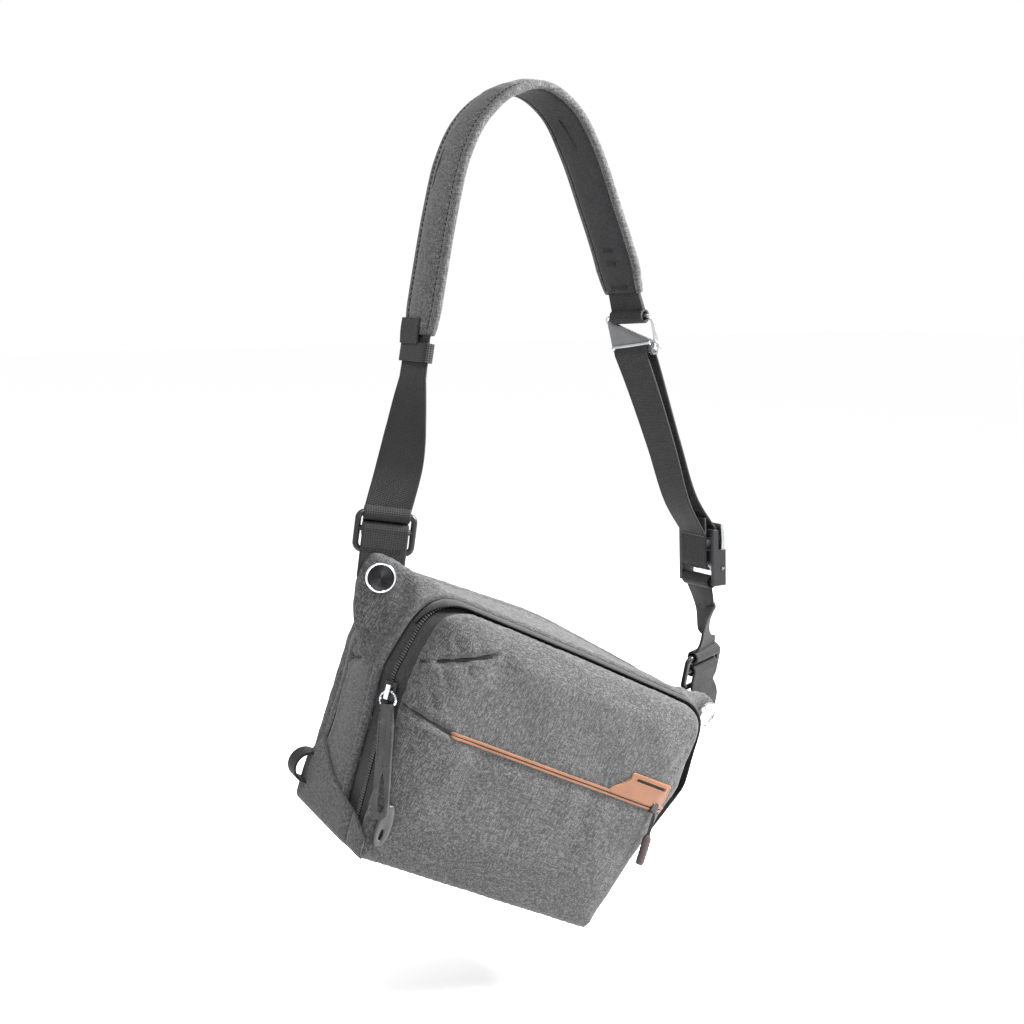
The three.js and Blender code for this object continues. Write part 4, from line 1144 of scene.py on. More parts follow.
# ---------------------------------------------------------------- lower end wraps
def end_wrap(name, sign, front, back):
    """A second panel over a lower end. It turns in a little under the base."""

    def place(u, v):
        y = back + (front - back) * u
        z = -1.0 + (wrap_height(y) + 1.0) * v
        full = np.clip(z / 40, 0, 1) * np.clip((wrap_height(y) - z) / 14, 0, 1)
        waist = np.interp(-y, (10, 40, 76, 84, 103), (130, 137, 139, 133, 124))
        foot = np.interp(-y, (0, 40, 76, 84, 103), (108, 107, 106, 104, 103.4))
        x = foot + (waist - foot) * np.maximum(z, 0) / 120 + 0.7 + 1.0 * full
        x = x - 2.0 * np.clip((2 - z) / 3, 0, 1) - np.clip((-99 - y) / 5, 0, 1) * 1.2
        facing = np.stack([np.full_like(y, sign), np.clip((y + 20) / 60, -0.6, 0.5), np.full_like(y, -0.15)], 1)
        facing /= np.linalg.norm(facing, axis=1)[:, None]
        return np.stack([sign * x, y, z], 1), facing

    return sheet_on(name, 24, max(8, int(abs(front - back) / 2)), place, 1.6, MELANGE)


for side, sign in (("left", -1), ("right", 1)):
    piece(end_wrap(f"end_wrap_panel_{side}", sign, -84.6, -3), "bag_body", "melange_fabric")
piece(end_wrap("end_wrap_front_left", -1, -104.5, -84.6), "hatch", "melange_fabric")


# ---------------------------------------------------------------- trims, label, pocket zip
def front_line(ends, count, lift=0.0):
    (x0, z0), (x1, z1) = ends
    t = np.linspace(0, 1, count)
    return on_front([(x0 + (x1 - x0) * k, z0 + (z1 - z0) * k) for k in t], lift)


upper_line, facing = front_line([(-84, 100.3), (113, 101.4)], 90)
lower_line, facing_low = front_line([(-83, 97.9), (113, 98.8)], 90)
trim_upper = strip("tan_trim_upper", upper_line, facing, 1.9, 1.1, TAN, crown=0.15)
trim_lower = strip("tan_trim_lower", lower_line, facing_low, 1.8, 0.8, TAN, crown=0.15)
zip_line, zip_facing = front_line([(-83.5, 99.1), (113, 100.1)], 90, -0.15)
pocket_gap = strip("pocket_zip_gap", zip_line, zip_facing, 1.6, 0.3, DARK)
piece(trim_upper, "hatch", "tan_trim", "trim_upper")
piece(trim_lower, "hatch", "tan_trim", "trim_lower")
piece(pocket_gap, "hatch", "dark_fabric")
LABEL_SLOT = (75.5, 104.0, 114.0, 116.6)


def label_place(u, v):
    rise = np.clip(v * 1.25 - 0.05, 0, 1)
    left = 57 + 13 * rise * rise * (3 - 2 * rise)
    right = 110.5 - 1.0 * v
    low, high = 100.6, 119.6
    corner = 1.8 * (1 - np.clip(np.minimum(u, 1 - u) / 0.06, 0, 1)) ** 2
    x = left + (right - left) * u
    z = low + (high - corner - low) * v
    points, facing = on_front(np.stack([x, z], 1))
    x0, x1, z0, z1 = LABEL_SLOT
    inside = (x > x0) & (x < x1) & (z > z0) & (z < z1)
    near = (x > x0 - 0.9) & (x < x1 + 0.9) & (z > z0 - 0.9) & (z < z1 + 0.9)
    lift = np.where(inside, -1.3, np.where(near, 0.25, 0.0))
    return points + facing * lift[:, None], facing


label = sheet_on("tan_label_tab", 34, 86, label_place, 1.5, TAN)
piece(label, "hatch", "tan_trim", "label_tab")
# A dark strip in the label's slot: painted shade for the shadow inside the slot.
slot_line, slot_facing = front_line([(LABEL_SLOT[0] - 0.2, 115.3), (LABEL_SLOT[1] + 0.2, 115.3)], 24, -0.1)
piece(strip("label_slot_ground", slot_line, slot_facing, 3.2, 0.5, DARK), "hatch", "dark_fabric")
label_edge = [(60.5, 103.0), (71.5, 118.2), (108.0, 118.2), (108.8, 103.0)]
for k, (a, b) in enumerate(zip(label_edge[:-1], label_edge[1:])):
    line, f = front_line([a, b], 30, 1.5)
    piece(stitches(f"label_stitches_{k}", line, f, TAN_EDGE, 1.7, 2.5, 0.2, BAG), "hatch", "tan_trim")

# The pocket's slider keeps its CAD shape. Its pull is a knotted cord in a rubber tube.
SLIDER_FRONT = -111.2
cord_points = [(102, SLIDER_FRONT, 97.5), (102.6, SLIDER_FRONT - 0.8, 94), (104.2, SLIDER_FRONT - 0.5, 88), (106.4, SLIDER_FRONT, 79.5), (108, SLIDER_FRONT, 73)]
strands = []
for offset in (-0.75, 0.75):
    line = smooth_path([(x + offset * (1 if k else 0.2), y, z) for k, (x, y, z) in enumerate(cord_points)], 60)
    strands.append(tube("strand", line, 0.72, WEBBING, BAG, 8))
cord = joined("pocket_pull_strands", strands)
piece(cord, "pocket_pull", "webbing", "pocket_pull_cord")
grip_line = smooth_path([(106.0, SLIDER_FRONT, 81), (107.6, SLIDER_FRONT, 74), (109.2, SLIDER_FRONT, 66.5), (110.6, SLIDER_FRONT, 59)], 40)
grip_radius = [2.0 + 1.15 * min(1, k / 5) - 0.55 * max(0, (k - 35) / 4) + 0.12 * math.sin(k * 1.1) * (6 < k < 34) for k in range(40)]
grip = tube("pocket_pull_tube", grip_line, grip_radius, RUBBER, BAG, 24)
piece(grip, "pocket_pull", "grip_rubber", "pocket_pull_grip")


# ---------------------------------------------------------------- frames of reference
def unit(*a):
    return Vector(a).normalized()


def frame_at(origin, x, z):
    """The matrix of a group with those x and z axes."""
    x, z = Vector(x), Vector(z)
    m = Matrix((x, z.cross(x), z)).transposed().to_4x4()
    return Matrix.Translation(Vector(origin)) @ m


def hub_at(sign):
    return BAG @ Vector((sign * HUB_X, HUB_Y, HUB_Z))


def wing_face(sign):
    return BAG.to_3x3() @ Vector((sign * math.sin(SPLAY), -math.cos(SPLAY), 0))


def up_the_wing(face, x, z):
    return Vector((x, -(face.x * x + face.z * z) / face.y, z)).normalized()


def turn_to(along, across):
    y = Vector((0, 1, 0))
    base = (y - along * along.y).normalized()
    turn = math.degrees(math.atan2(across.dot(along.cross(base)), across.dot(base)))
    return turn - 180 if turn > 90 else turn + 180 if turn < -90 else turn


FRAME_W, FRAME_H, ROD, RISE, MIDDLE_BAR = 42, 29.5, 4.2, 29.2, 1.6
TOP_BAR = FRAME_H / 2 - ROD / 2
left_face, right_face = wing_face(-1), wing_face(1)
left_up, right_up = up_the_wing(left_face, 5, 37.5), up_the_wing(right_face, -2, 42)
left_across, right_across = left_up.cross(left_face), right_up.cross(right_face)
left_hub = frame_at(hub_at(-1), left_up.cross(left_face), left_up)
right_hub = frame_at(hub_at(1), right_up.cross(right_face), right_up)
left_frame = frame_at(left_hub @ Vector((0, 3.7, RISE)), left_across, left_up)
right_frame = frame_at(right_hub @ Vector((-2, 8.4, RISE + 7)), right_across, right_up)
hook_down = unit(0.2, 0, -0.98)
hook_across = Matrix.Rotation(rad(-16), 3, hook_down) @ Vector((0, 1, 0))
hook = frame_at((87, 0, -165), hook_across, -hook_down)
adjuster = frame_at((150.5, 0, -331), (0, 1, 0), unit(-0.03, 0, 1))


# ---------------------------------------------------------------- hubs
def lathe(name, profile, material, matrix, sides=64, uv=False):
    """A turned piece about the y axis, from [radius, depth to the front] pairs."""
    rings = []
    for r, front in profile:
        a = np.linspace(0, 2 * math.pi, sides, endpoint=False)
        rings.append(np.stack([np.cos(a) * r, np.full(sides, -front), np.sin(a) * r], 1))
    values = None
    if uv:
        values = [(a / sides, r) for r, _ in profile for a in range(sides)]
    return loft(name, rings, material, matrix, caps=True, uv=values)


# The two hub faces are one metal. The right face's lighter colour is a painted reflection of the light that falls on
# that side.
HUB_FACE = {
    "left": turned("turned_black_metal", (0.022, 0.022, 0.024), 0.30),
    "right": turned("turned_metal_painted_highlight", (0.26, 0.26, 0.27), 0.34),
}
for side, sign in (("left", -1), ("right", 1)):
    m = wing_matrix(sign)
    if sign > 0:
        m = BAG @ Matrix.Translation(Vector((1.5 - DRAWN_IN, -2.5, 0))) @ BAG.inverted() @ m
    rim = lathe(
        f"hub_chrome_rim_{side}",
        [(8.6, 6.0), (8.7, 7.6), (9.0, 8.2), (9.5, 8.5), (10.0, 8.2), (10.4, 7.5), (10.6, 6.6), (10.7, 5.4), (10.7, 4.2), (9.0, 3.8)],
        CHROME, m)
    piece(rim, "bag_body", "chrome", f"hub_rim_{side}")
    face = lathe(
        f"hub_turned_face_{side}",
        [(8.7, 5.0), (8.6, 6.6), (8.2, 7.1), (7.6, 7.3), (5.0, 7.2), (3.0, 7.05), (1.4, 6.95), (0.15, 6.9)],
        HUB_FACE[side], m, uv=True)
    # The right face's slot says aluminium, but its lighter colour is a painted reflection; both hub faces are the same
    # metal.
    piece(face, "bag_body", "black_metal" if sign < 0 else "aluminium", f"hub_face_{side}")
    washer = lathe(
        f"hub_back_washer_{side}",
        [(3.0, -4.2), (9.4, -4.4), (9.6, -5.2), (9.2, -6.0), (8.0, -6.6), (5.0, -7.2), (0.15, -7.4)],
        BLACK_METAL, m)
    piece(washer, "bag_body", "black_metal", f"hub_post_{side}")


# ---------------------------------------------------------------- back panel, air mesh, piping, end loops
def back_form():
    rings = [ring_at(BACK, y, inset) for y, inset in ((-20.0, 3.4), (-16.5, 1.6), (-12.5, 0.2), (-9, -0.6), (-5, -0.3), (-2.0, 1.0), (-0.4, 3.4), (0.3, 8.0))]
    return loft("back_panel_padded", rings, MELANGE, BAG)


back_panel = back_form()
remesh(back_panel, 3.6)
relax(back_panel, 3, 0.4)
cloth(back_panel, 1.6, 1.6, 12, lambda p: np.clip((-9 - p[:, 1]) / 2, 0, 1))
subdivide(back_panel, 1)
piece(back_panel, "bag_body", "dark_fabric", "back_panel")


def mesh_form():
    rings = [ring_at(BACK, y, inset) for y, inset in ((-1.4, 8.0), (0.4, 8.2), (1.8, 9.2), (3.0, 11.4), (3.6, 15.0))]
    return loft("back_air_mesh", rings, AIR_MESH, BAG)


back_mesh = mesh_form()
remesh(back_mesh, 3.0)
relax(back_mesh, 2, 0.4)
subdivide(back_mesh, 1)


def mesh_quilting(p):
    x, z = p[:, 0], p[:, 2]
    out = np.clip(p[:, 1] / 3, 0, 1)
    channels = sum(np.exp(-(((x - c * (1 - z / 900)) / 3.2) ** 2)) for c in (-46, 46))
    cross = np.exp(-(((z - 92) / 3.2) ** 2)) * (np.abs(x) < 46)
    return out * (2.2 - 3.6 * np.clip(channels + cross, 0, 1))


swell(back_mesh, mesh_quilting)
piece(back_mesh, "bag_body", "air_mesh", "back_mesh")
quilt_tree = surface_of(back_mesh)
for k, ends in enumerate((((-46, 6, 20), (-38, 6, 160)), ((46, 6, 20), (38, 6, 160)), ((-42, 6, 92), (42, 6, 92)))):
    line, f = onto(quilt_tree, densify(ends, 2))
    piece(stitches(f"quilting_{k}", line, f, DARK_THREAD, 2.6, 4.0, 0.35, BAG), "bag_body", "air_mesh")

hinge_line = smooth_path([(-96, -85, 1.4), (-60, -85.3, 0.2), (0, -85, 0.4), (60, -85.3, 0.2), (96, -85, 1.4)], 90)
hinge = tube("hinge_edge_piping", hinge_line, 1.7, MELANGE, BAG, 10)
piece(hinge, "bag_body", "melange_fabric", "hinge_piping")


def ribbon(name, centres, acrosses, outs, width, thick, material, matrix=None, closed=False, sag=0.0, widths=None):
    """A webbing with rounded selvedges. Its UVs are millimetres over and along it."""
    centres, acrosses, outs = (np.asarray(a, float) for a in (centres, acrosses, outs))
    h = thick / 2
    profile = [(-1, 0.0), (-0.985, 0.7), (-0.95, 1.0), (-0.90, 0.92), (-0.5, 0.95), (0, 1.0), (0.5, 0.95), (0.90, 0.92), (0.95, 1.0), (0.985, 0.7), (1, 0.0)]
    profile += [(f, -k) for f, k in reversed(profile[1:-1])]
    run = np.concatenate([[0], np.cumsum(np.linalg.norm(np.diff(centres, axis=0), axis=1))])
    rings, values = [], []
    for i in range(len(centres)):
        w = widths[i] if widths is not None else width
        ring = []
        for f, k in profile:
            ring.append(centres[i] + acrosses[i] * f * w / 2 + outs[i] * (k * h + sag * (f * f - 0.4)))
            values.append((f * w / 2, run[i]))
        rings.append(ring)
    return loft(name, rings, material, matrix, caps=True, closed_rows=closed, uv=values)


def frames_along(path, turns):
    """Tangents, across and outward directions along a path, as the CAD's straps have them."""
    along = np.gradient(path, axis=0)
    along /= np.linalg.norm(along, axis=1)[:, None]
    y = np.array((0, 1.0, 0))
    across = y - along * along[:, 1:2]
    across /= np.linalg.norm(across, axis=1)[:, None]
    u = np.linspace(0, 1, len(path))
    turn = np.radians(np.interp(u, np.linspace(0, 1, len(turns)), turns))[:, None]
    side = np.cross(along, across)
    across = across * np.cos(turn) + side * np.sin(turn)
    return along, across, np.cross(along, across)


for side, sign in (("left", -1), ("right", 1)):
    angles = np.linspace(-0.5 * math.pi, 0.5 * math.pi, 25)
    centres = np.stack([sign * (116.0 + np.cos(angles) * 10.5), np.full(25, -9.0), 24 + np.sin(angles) * 10.5], 1)
    centres = np.concatenate([[centres[0] - (sign * 6, 0, 0)], centres, [centres[-1] - (sign * 5, 0, 0)]])
    acrosses = np.tile((0, 1.0, 0), (27, 1))
    along = np.gradient(centres, axis=0)
    outs = np.cross(along, acrosses)
    outs /= np.linalg.norm(outs, axis=1)[:, None]
    loop = ribbon(f"end_webbing_loop_{side}", centres, acrosses, outs, 12, 2.0, WEBBING, BAG)
    piece(loop, "bag_body", "webbing", f"end_loop_{side}")


# ---------------------------------------------------------------- inside of the bag
def puffy(name, low, high, material, crown, corner=5.0, axis=0):
    """A padded board, crowned on the two faces square to axis, with a soft edge."""
    low, high = np.array(low, float), np.array(high, float)
    a, b = [k for k in range(3) if k != axis]
    n = 26
    u, v = np.meshgrid(np.linspace(-1, 1, n), np.linspace(-1, 1, n))
    su, sv = np.sin(u * math.pi / 2), np.sin(v * math.pi / 2)
    reach = np.maximum(0, 1 - np.abs(su) ** 6) ** 0.5 * np.maximum(0, 1 - np.abs(sv) ** 6) ** 0.5
    half = (high[axis] - low[axis]) / 2
    middle = (high + low) / 2
    verts = []
    for side in (1, -1):
        p = np.zeros((n, n, 3))
        rounding = 1 - (corner / (high[a] - low[a])) * (np.abs(sv) ** 8)
        p[..., a] = middle[a] + su * (high[a] - low[a]) / 2 * rounding
        rounding = 1 - (corner / (high[b] - low[b])) * (np.abs(su) ** 8)
        p[..., b] = middle[b] + sv * (high[b] - low[b]) / 2 * rounding
        swellings = crown * np.cos(su * math.pi / 2) * np.cos(sv * math.pi / 2)
        p[..., axis] = middle[axis] + side * (half * (0.25 + 0.75 * reach) + swellings)
        verts.append(p.reshape(-1, 3))
    verts = np.concatenate(verts)
    faces = []
    m = n * n
    for r in range(n - 1):
        for c in range(n - 1):
            k = r * n + c
            faces.append((k, k + 1, k + n + 1, k + n))
            faces.append((m + k, m + k + n, m + k + n + 1, m + k + 1))
    for k in range(n - 1):
        for first, second in ((k, k + 1), ((n - 1) * n + k, (n - 1) * n + k + 1), (k * n, k * n + n), (k * n + n - 1, k * n + 2 * n - 1)):
            faces.append((first, m + first, m + second, second))
    obj = new_object(name, verts, faces, material, BAG)
    return obj


def lining_shell():
    rows = [(-15.5, 6.2), (-30, 5.6), (-50, 5.6), (-66, 5.8), (-71, 6.4)]
    outer = [ring_at(mix_sections(MIDDLE, LIP, 0.5), y, inset) for y, inset in rows]
    inner = [ring_at(mix_sections(MIDDLE, LIP, 0.5), y, inset + 1.0) for y, inset in reversed(rows)]
    return loft("inner_lining", outer + inner, LINING, BAG, caps=False, closed_rows=True)


piece(lining_shell(), "bag_body", "lining_fabric", "body_lining")


def plain_panel(name, section, y0, y1, inset, material, quilted=0.5):
    rings = [ring_at(section, y0, inset + 1), ring_at(section, y0 + (y1 - y0) * 0.2, inset), ring_at(section, y1, inset + 0.8), ring_at(section, y1, inset + 12)]
    obj = loft(name, rings, material, BAG)
    return obj


piece(plain_panel("inner_back_lining", BACK, -13.9, -14.6, 7.5, LINING), "bag_body", "lining_fabric", "lining_back")
piece(plain_panel("front_panel_lining", FRONT, -90.0, -87.2, 9.0, LINING), "hatch", "lining_fabric", "hatch_lining")
floor_pad = puffy("floor_padding", (-92, -74, 7.2), (92, -15, 12), LINING, 0.8, 6, axis=2)
piece(floor_pad, "bag_body", "lining_fabric", "floor_pad")


def pocket_sheet(name, x, y, z0, z1, material, bulge):
    """A flat pocket of one cloth, which stands off a little at its mouth."""

    def place(u, v):
        px, pz = -x + 2 * x * u, z0 + (z1 - z0) * v
        out = bulge * np.sin(u * math.pi) * v**2 + 0.3 * np.sin(u * 19) * v
        points = np.stack([px, y - out, pz], 1)
        return points, np.tile((0, -1.0, 0), (len(px), 1))

    return sheet_on(name, 24, 50, place, 0.9, material)


pocket = pocket_sheet("inner_flat_pocket", 96, -15.6, 14, 92, LINING, 1.6)
piece(pocket, "bag_body", "lining_fabric", "inner_pocket")
hem = tube("inner_pocket_hem", [(x, -17.2 - 1.3 * math.sin((x + 96) / 192 * math.pi), 92) for x in np.linspace(-96, 96, 60)], 1.1, DARK, BAG, 8)
piece(hem, "bag_body", "dark_fabric")
mesh_pocket = pocket_sheet("front_mesh_pocket", 84, -86.4, 14, 104, AIR_MESH, -0.5)
piece(mesh_pocket, "hatch", "air_mesh", "hatch_pocket")
mesh_hem = tube("front_pocket_hem", [(x, -85.2, 104) for x in np.linspace(-84, 84, 60)], 1.1, DARK, BAG, 8)
piece(mesh_hem, "hatch", "dark_fabric")
for side, x in (("left", -34), ("right", 40)):
    wall = puffy(f"padded_divider_{side}", (x - 3, -73, 12.5), (x + 3, -19, 118), LINING, 1.0)
    piece(wall, "bag_body", "lining_fabric", f"divider_{side}")
    top = puffy(f"padded_divider_flap_{side}", (x - 3, -73, 119), (x + 3, -19, 168), LINING, 0.9)
    piece(top, f"divider_flap_{side}", "lining_fabric", f"divider_{side}_flap")


# ---------------------------------------------------------------- main zip slider and pull
TRACK_LEAN = math.atan2(ZIP[1] - ZIP[0], WAIST_HEIGHT)
TRACK_X = ZIP[0] + math.tan(TRACK_LEAN) * 109 - 4.9
SLIDER = (
    BAG
    @ Matrix.Translation(Vector((-TRACK_X, ZIP_Y, 109)))
    @ Matrix.Rotation(-TRACK_LEAN, 4, "Y")
    @ Matrix.Rotation(0.76, 4, "Z")
)
plumb = SLIDER.to_3x3().transposed() @ Vector((0, 0, -1))
hang = math.atan2(plumb.y, -plumb.z)
PULL = SLIDER @ Matrix.Translation(Vector((-6.9, 0, 0))) @ Matrix.Rotation(hang, 4, "X") @ Matrix.Rotation(0.16, 4, "Y")
RING = 5.6


def bevelled(node, material, width, segments=3, levels=0):
    """A CAD node kept as it is, with softened edges and a finish."""
    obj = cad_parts[node]
    obj.data.materials.clear()
    obj.data.materials.append(material)
    if levels:
        obj.data.polygons.foreach_set("use_smooth", [True] * len(obj.data.polygons))
        mod = obj.modifiers.new("Round", "SUBSURF")
        mod.levels = mod.render_levels = levels
    else:
        mod = obj.modifiers.new("Edges", "BEVEL")
        mod.width = width * MM
        mod.segments = segments
        mod.limit_method = "ANGLE"
        mod.angle_limit = rad(35)
    return obj


def rounded_bar(name, points, radius, material, matrix, count=90, sides=14, closed=False):
    line = smooth_path(points, count)
    return tube(name, line[:-1] if closed else line, radius, material, matrix, sides, closed)


bevelled("zip_slider", BLACK_METAL, 1.1, 4)
bevelled("zip_crown", CHROME, 0.45, 3)
bevelled("zip_ring", CHROME, 0, levels=2)
bevelled("pocket_slider", BLACK_METAL, 0.7, 3)

PULL_TOP = -2 * RING + 2.6
PULL_LENGTH = 76


def pull_strap():
    """A folded strip of sheet: stitched double above, an open loop below."""
    half = 5.5
    outer = []
    for z in np.linspace(PULL_TOP, PULL_TOP - PULL_LENGTH + 5.4, 60):
        t = (PULL_TOP - z) / PULL_LENGTH
        outer.append((half - 1.3 * max(0, 1 - t * 6), z))
    for a in np.linspace(0, math.pi / 2, 14)[1:]:
        outer.append((half * math.cos(a), PULL_TOP - PULL_LENGTH + 5.4 - 5.4 * math.sin(a)))
    right = np.array(outer)
    hole = []
    low, high = PULL_TOP - PULL_LENGTH + 4.4, PULL_TOP - PULL_LENGTH + 31
    for t in np.linspace(0, 1, 40):
        z = high + (low - high) * t
        w = 3.0 * math.sin(math.pi * min(1, t * 0.62 + 0.0)) if t < 0.86 else 3.0 * math.sin(math.pi * 0.533) * math.sqrt(max(0, 1 - ((t - 0.86) / 0.14) ** 2))
        hole.append((max(w, 0.02), z))
    hole = np.array(hole)
    n = 120
    t = np.linspace(0, 1, n)
    zs = PULL_TOP - PULL_LENGTH * t
    half_outer = np.interp(-zs, -right[:, 1], right[:, 0])
    half_hole = np.interp(-zs, -hole[:, 1], hole[:, 0], left=0.0, right=0.0)
    half_hole[-4:] = 0
    verts, faces = [], []
    thick = 1.5 + 0.25 * np.exp(-(((t - 0.02) / 0.03) ** 2))
    for sign in (-1, 1):
        base = len(verts)
        profile = [(0.0, 0.75), (0.08, 1.0), (0.3, 1.06), (0.7, 1.04), (0.92, 1.0), (1.0, 0.72)]
        profile = profile + [(f, -h) for f, h in reversed(profile)]
        for i in range(n):
            inner, wide = half_hole[i], half_outer[i] + 0.02
            for f, h in profile:
                flat = math.copysign(1.0, h) if f == 0 and inner < 0.1 else h
                verts.append((flat * thick[i], sign * (inner + (wide - inner) * f), zs[i]))
        k = len(profile)
        for i in range(n - 1):
            for c in range(k):
                d = (c + 1) % k
                faces.append((base + i * k + c, base + i * k + d, base + (i + 1) * k + d, base + (i + 1) * k + c))
        faces.append(tuple(base + c for c in range(k)))
        faces.append(tuple(base + (n - 1) * k + c for c in range(k))[::-1])
    return new_object("zip_pull_loop", verts, faces, PULL_HIDE, PULL)


strap_pull = pull_strap()
piece(strap_pull, "main_pull", "hypalon", "main_pull")
pull_threads = []
for y in (-4.1, 4.1):
    for face in (-1, 1):
        line = [(face * 1.55, y, z) for z in np.linspace(PULL_TOP - 3, PULL_TOP - 40, 60)]
        pull_threads.append(stitches("t", line, [(face, 0, 0)] * 60, DARK_THREAD, 1.9, 2.9, 0.22, PULL, 0.12))
line = [(-1.55, y, PULL_TOP - 40.5) for y in np.linspace(-4, 4, 20)]
pull_threads.append(stitches("t", line, [(-1, 0, 0)] * 20, DARK_THREAD, 1.9, 2.7, 0.22, PULL, 0.12))
piece(joined("pull_stitches", pull_threads), "main_pull", "hypalon")

# The tab that closes the zip's lower left end: a doubled strip with an oval eye.
tab_edge = smooth_path([(93, 0, 12), (98, 0, 11), (101.5, 0, 17), (104, 0, 30), (103.2, 0, 38), (97.5, 0, 40), (93.8, 0, 33), (91.5, 0, 20), (93, 0, 12)], 73)[:-1]
tab_hole = smooth_path([(95.8, 0, 15.5), (97.6, 0, 15.8), (98.4, 0, 19.5), (98.2, 0, 23), (97, 0, 22.8), (95.9, 0, 19.5), (95.8, 0, 15.5)], 73)[:-1]
rings = []
for blend, depth in ((0.0, 0.4), (0.0, -0.9), (0.18, -1.3), (0.6, -1.4), (0.92, -1.2), (1.0, -0.6), (1.0, 0.9), (0.5, 0.9)):
    ring = tab_hole * (1 - blend) + tab_edge * blend
    ring[:, 0] *= -1
    ring[:, 1] = FACE_Y - 3.0 + depth
    rings.append(ring)
tab = loft("zip_end_tab_strip", rings, PULL_HIDE, BAG, caps=False, closed_rows=True)
piece(tab, "hatch", "hypalon", "zip_end_tab")


# ---------------------------------------------------------------- padded strap
STRAP = [(-88, 0, -162), (-81, 0, -124), (-71, 0, -76), (-62, 0, -44), (-48, 0, -19), (-26, 0, -1), (0, 0, 4), (24, 0, -10), (41, 0, -36), (59, 0, -78), (71, 0, -108), (80, 0, -136)]
PAD_TURNS = [0, 0, 0, 0, -4, -8, -8, -10]
pad_path = smooth_path(STRAP, 261)
pad_along, pad_across, pad_out = frames_along(pad_path, PAD_TURNS)
pad_u = np.linspace(0, 1, len(pad_path))
pad_half = 21 - np.maximum(0, np.abs(pad_u - 0.5) * 20 - 9) * 3


def pad_ring(i, profile):
    return [pad_path[i] + pad_across[i] * a * pad_half[i] / 21 + pad_out[i] * b for a, b in profile]


def end_taper(i):
    return min(1, 0.35 + min(i, len(pad_path) - 1 - i) / 7)


# A crowned middle, a stitched channel and a flat rim on the outer face. The rim turns under.
COVER = [
    (-14.8, 1.9), (-16.2, 2.5), (-18.8, 2.7), (-20.4, 2.0), (-21.2, 0.4), (-21.0, -1.6), (-20.2, -2.9), (-18.6, -3.5), (-17.0, -3.3), (-16.2, -2.5), (-15.9, -1.0), (-15.0, 0.0),
    (0.0, 0.2),
    (15.0, 0.0), (15.9, -1.0), (16.2, -2.5), (17.0, -3.3), (18.6, -3.5), (20.2, -2.9), (21.2, -1.6), (21.2, 0.4), (20.4, 2.0), (18.8, 2.7), (16.2, 2.5), (14.8, 1.9),
    (13.6, 2.7), (11.5, 3.9), (8.0, 4.7), (4.0, 5.1), (0.0, 5.2), (-4.0, 5.1), (-8.0, 4.7), (-11.5, 3.9), (-13.6, 2.7),
]
rings = []
for i in range(len(pad_path)):
    puff = end_taper(i)
    ripple = 0.18 * math.sin(i * 0.37) + 0.14 * math.sin(i * 0.83 + 1)
    rings.append(pad_ring(i, [(a, b * (0.55 + 0.45 * puff) + (ripple if b > 3 else 0)) for a, b in COVER]))
pad_cover = loft("strap_pad_cover", rings, STRAP_MELANGE)
subdivide(pad_cover, 1)
piece(pad_cover, "pad", "melange_fabric", "pad_cover")
LINING_PROFILE = [(-16.4, -2.2), (-15.8, -3.1), (-14.0, -3.9), (-10.0, -4.5), (0.0, -4.9), (10.0, -4.5), (14.0, -3.9), (15.8, -3.1), (16.4, -2.2), (15.4, -0.4), (0.0, -0.2), (-15.4, -0.4)]
rings = [pad_ring(i, [(a, b * (0.6 + 0.4 * end_taper(i))) for a, b in LINING_PROFILE]) for i in range(1, len(pad_path) - 1)]
pad_lining = loft("strap_pad_lining", rings, STRAP_LINING)
subdivide(pad_lining, 1)
piece(pad_lining, "pad", "lining_fabric", "pad_lining")


def pad_line(a, b, first=3, last=-3):
    """A line along the pad at an across and an outward offset."""
    chosen = range(first, len(pad_path) + last)
    return np.array([pad_path[i] + pad_across[i] * a * pad_half[i] / 21 + pad_out[i] * b for i in chosen]), np.array([pad_out[i] * (1 if b > 0 else -1) for i in chosen])


rows = []
for a, b in ((-15.6, 2.4), (15.6, 2.4)):
    line, f = pad_line(a, b)
    rows.append(stitches("t", line, f, DARK_THREAD, 2.2, 3.6, 0.42, None, 0.3))
piece(joined("strap_pad_stitches", rows), "pad", "melange_fabric")
for k, (a, b, material) in enumerate(((-14.8, 1.7, DARK_THREAD), (14.8, 1.7, DARK_THREAD), (-16.5, -2.9, DARK_THREAD), (16.5, -2.9, DARK_THREAD))):
    line, _ = pad_line(a, b)
    piece(tube(f"strap_channel_{k}", line[::2], 0.5, material, None, 6), "pad", "dark_fabric")


def at_u(u, a, b):
    i = u * (len(pad_path) - 1)
    k = int(i)
    f = i - k
    p = pad_path[k] * (1 - f) + pad_path[min(k + 1, len(pad_path) - 1)] * f
    return p + pad_across[k] * a + pad_out[k] * b


# A short welt pocket on each face, and the bar tacks at the pad's right end.
details = []
for u0, a0, u1, a1, b, wide in ((0.345, 5.0, 0.265, 7.6, 4.75, 0.7), (0.64, 0.6, 0.705, -2.0, -4.75, 1.5)):
    line = np.array([at_u(u0 + (u1 - u0) * t, a0 + (a1 - a0) * t, b) for t in np.linspace(0, 1, 24)])
    slim = [wide * math.sin(math.pi * (0.1 + 0.8 * t)) ** 0.6 for t in np.linspace(0, 1, 24)]
    details.append(tube("t", line, slim, DARK_THREAD, None, 8))
piece(joined("strap_pad_slits", details), "pad", "dark_fabric")
tacks = []
for u, a0, a1 in ((0.908, -3.5, 5.5), (0.935, -3.5, 5.5), (0.983, -9, 8)):
    for off in np.linspace(-0.003, 0.003, 4):
        line = [at_u(u + off, a0 + (a1 - a0) * t, -4.85 + 0.4 * (u > 0.95) + 0.2 * math.sin(t * 37 + off * 900)) for t in np.linspace(0, 1, 14)]
        tacks.append(tube("t", line, 0.42, DARK_THREAD, None, 6))
piece(joined("strap_bar_tacks", tacks), "pad", "dark_fabric")


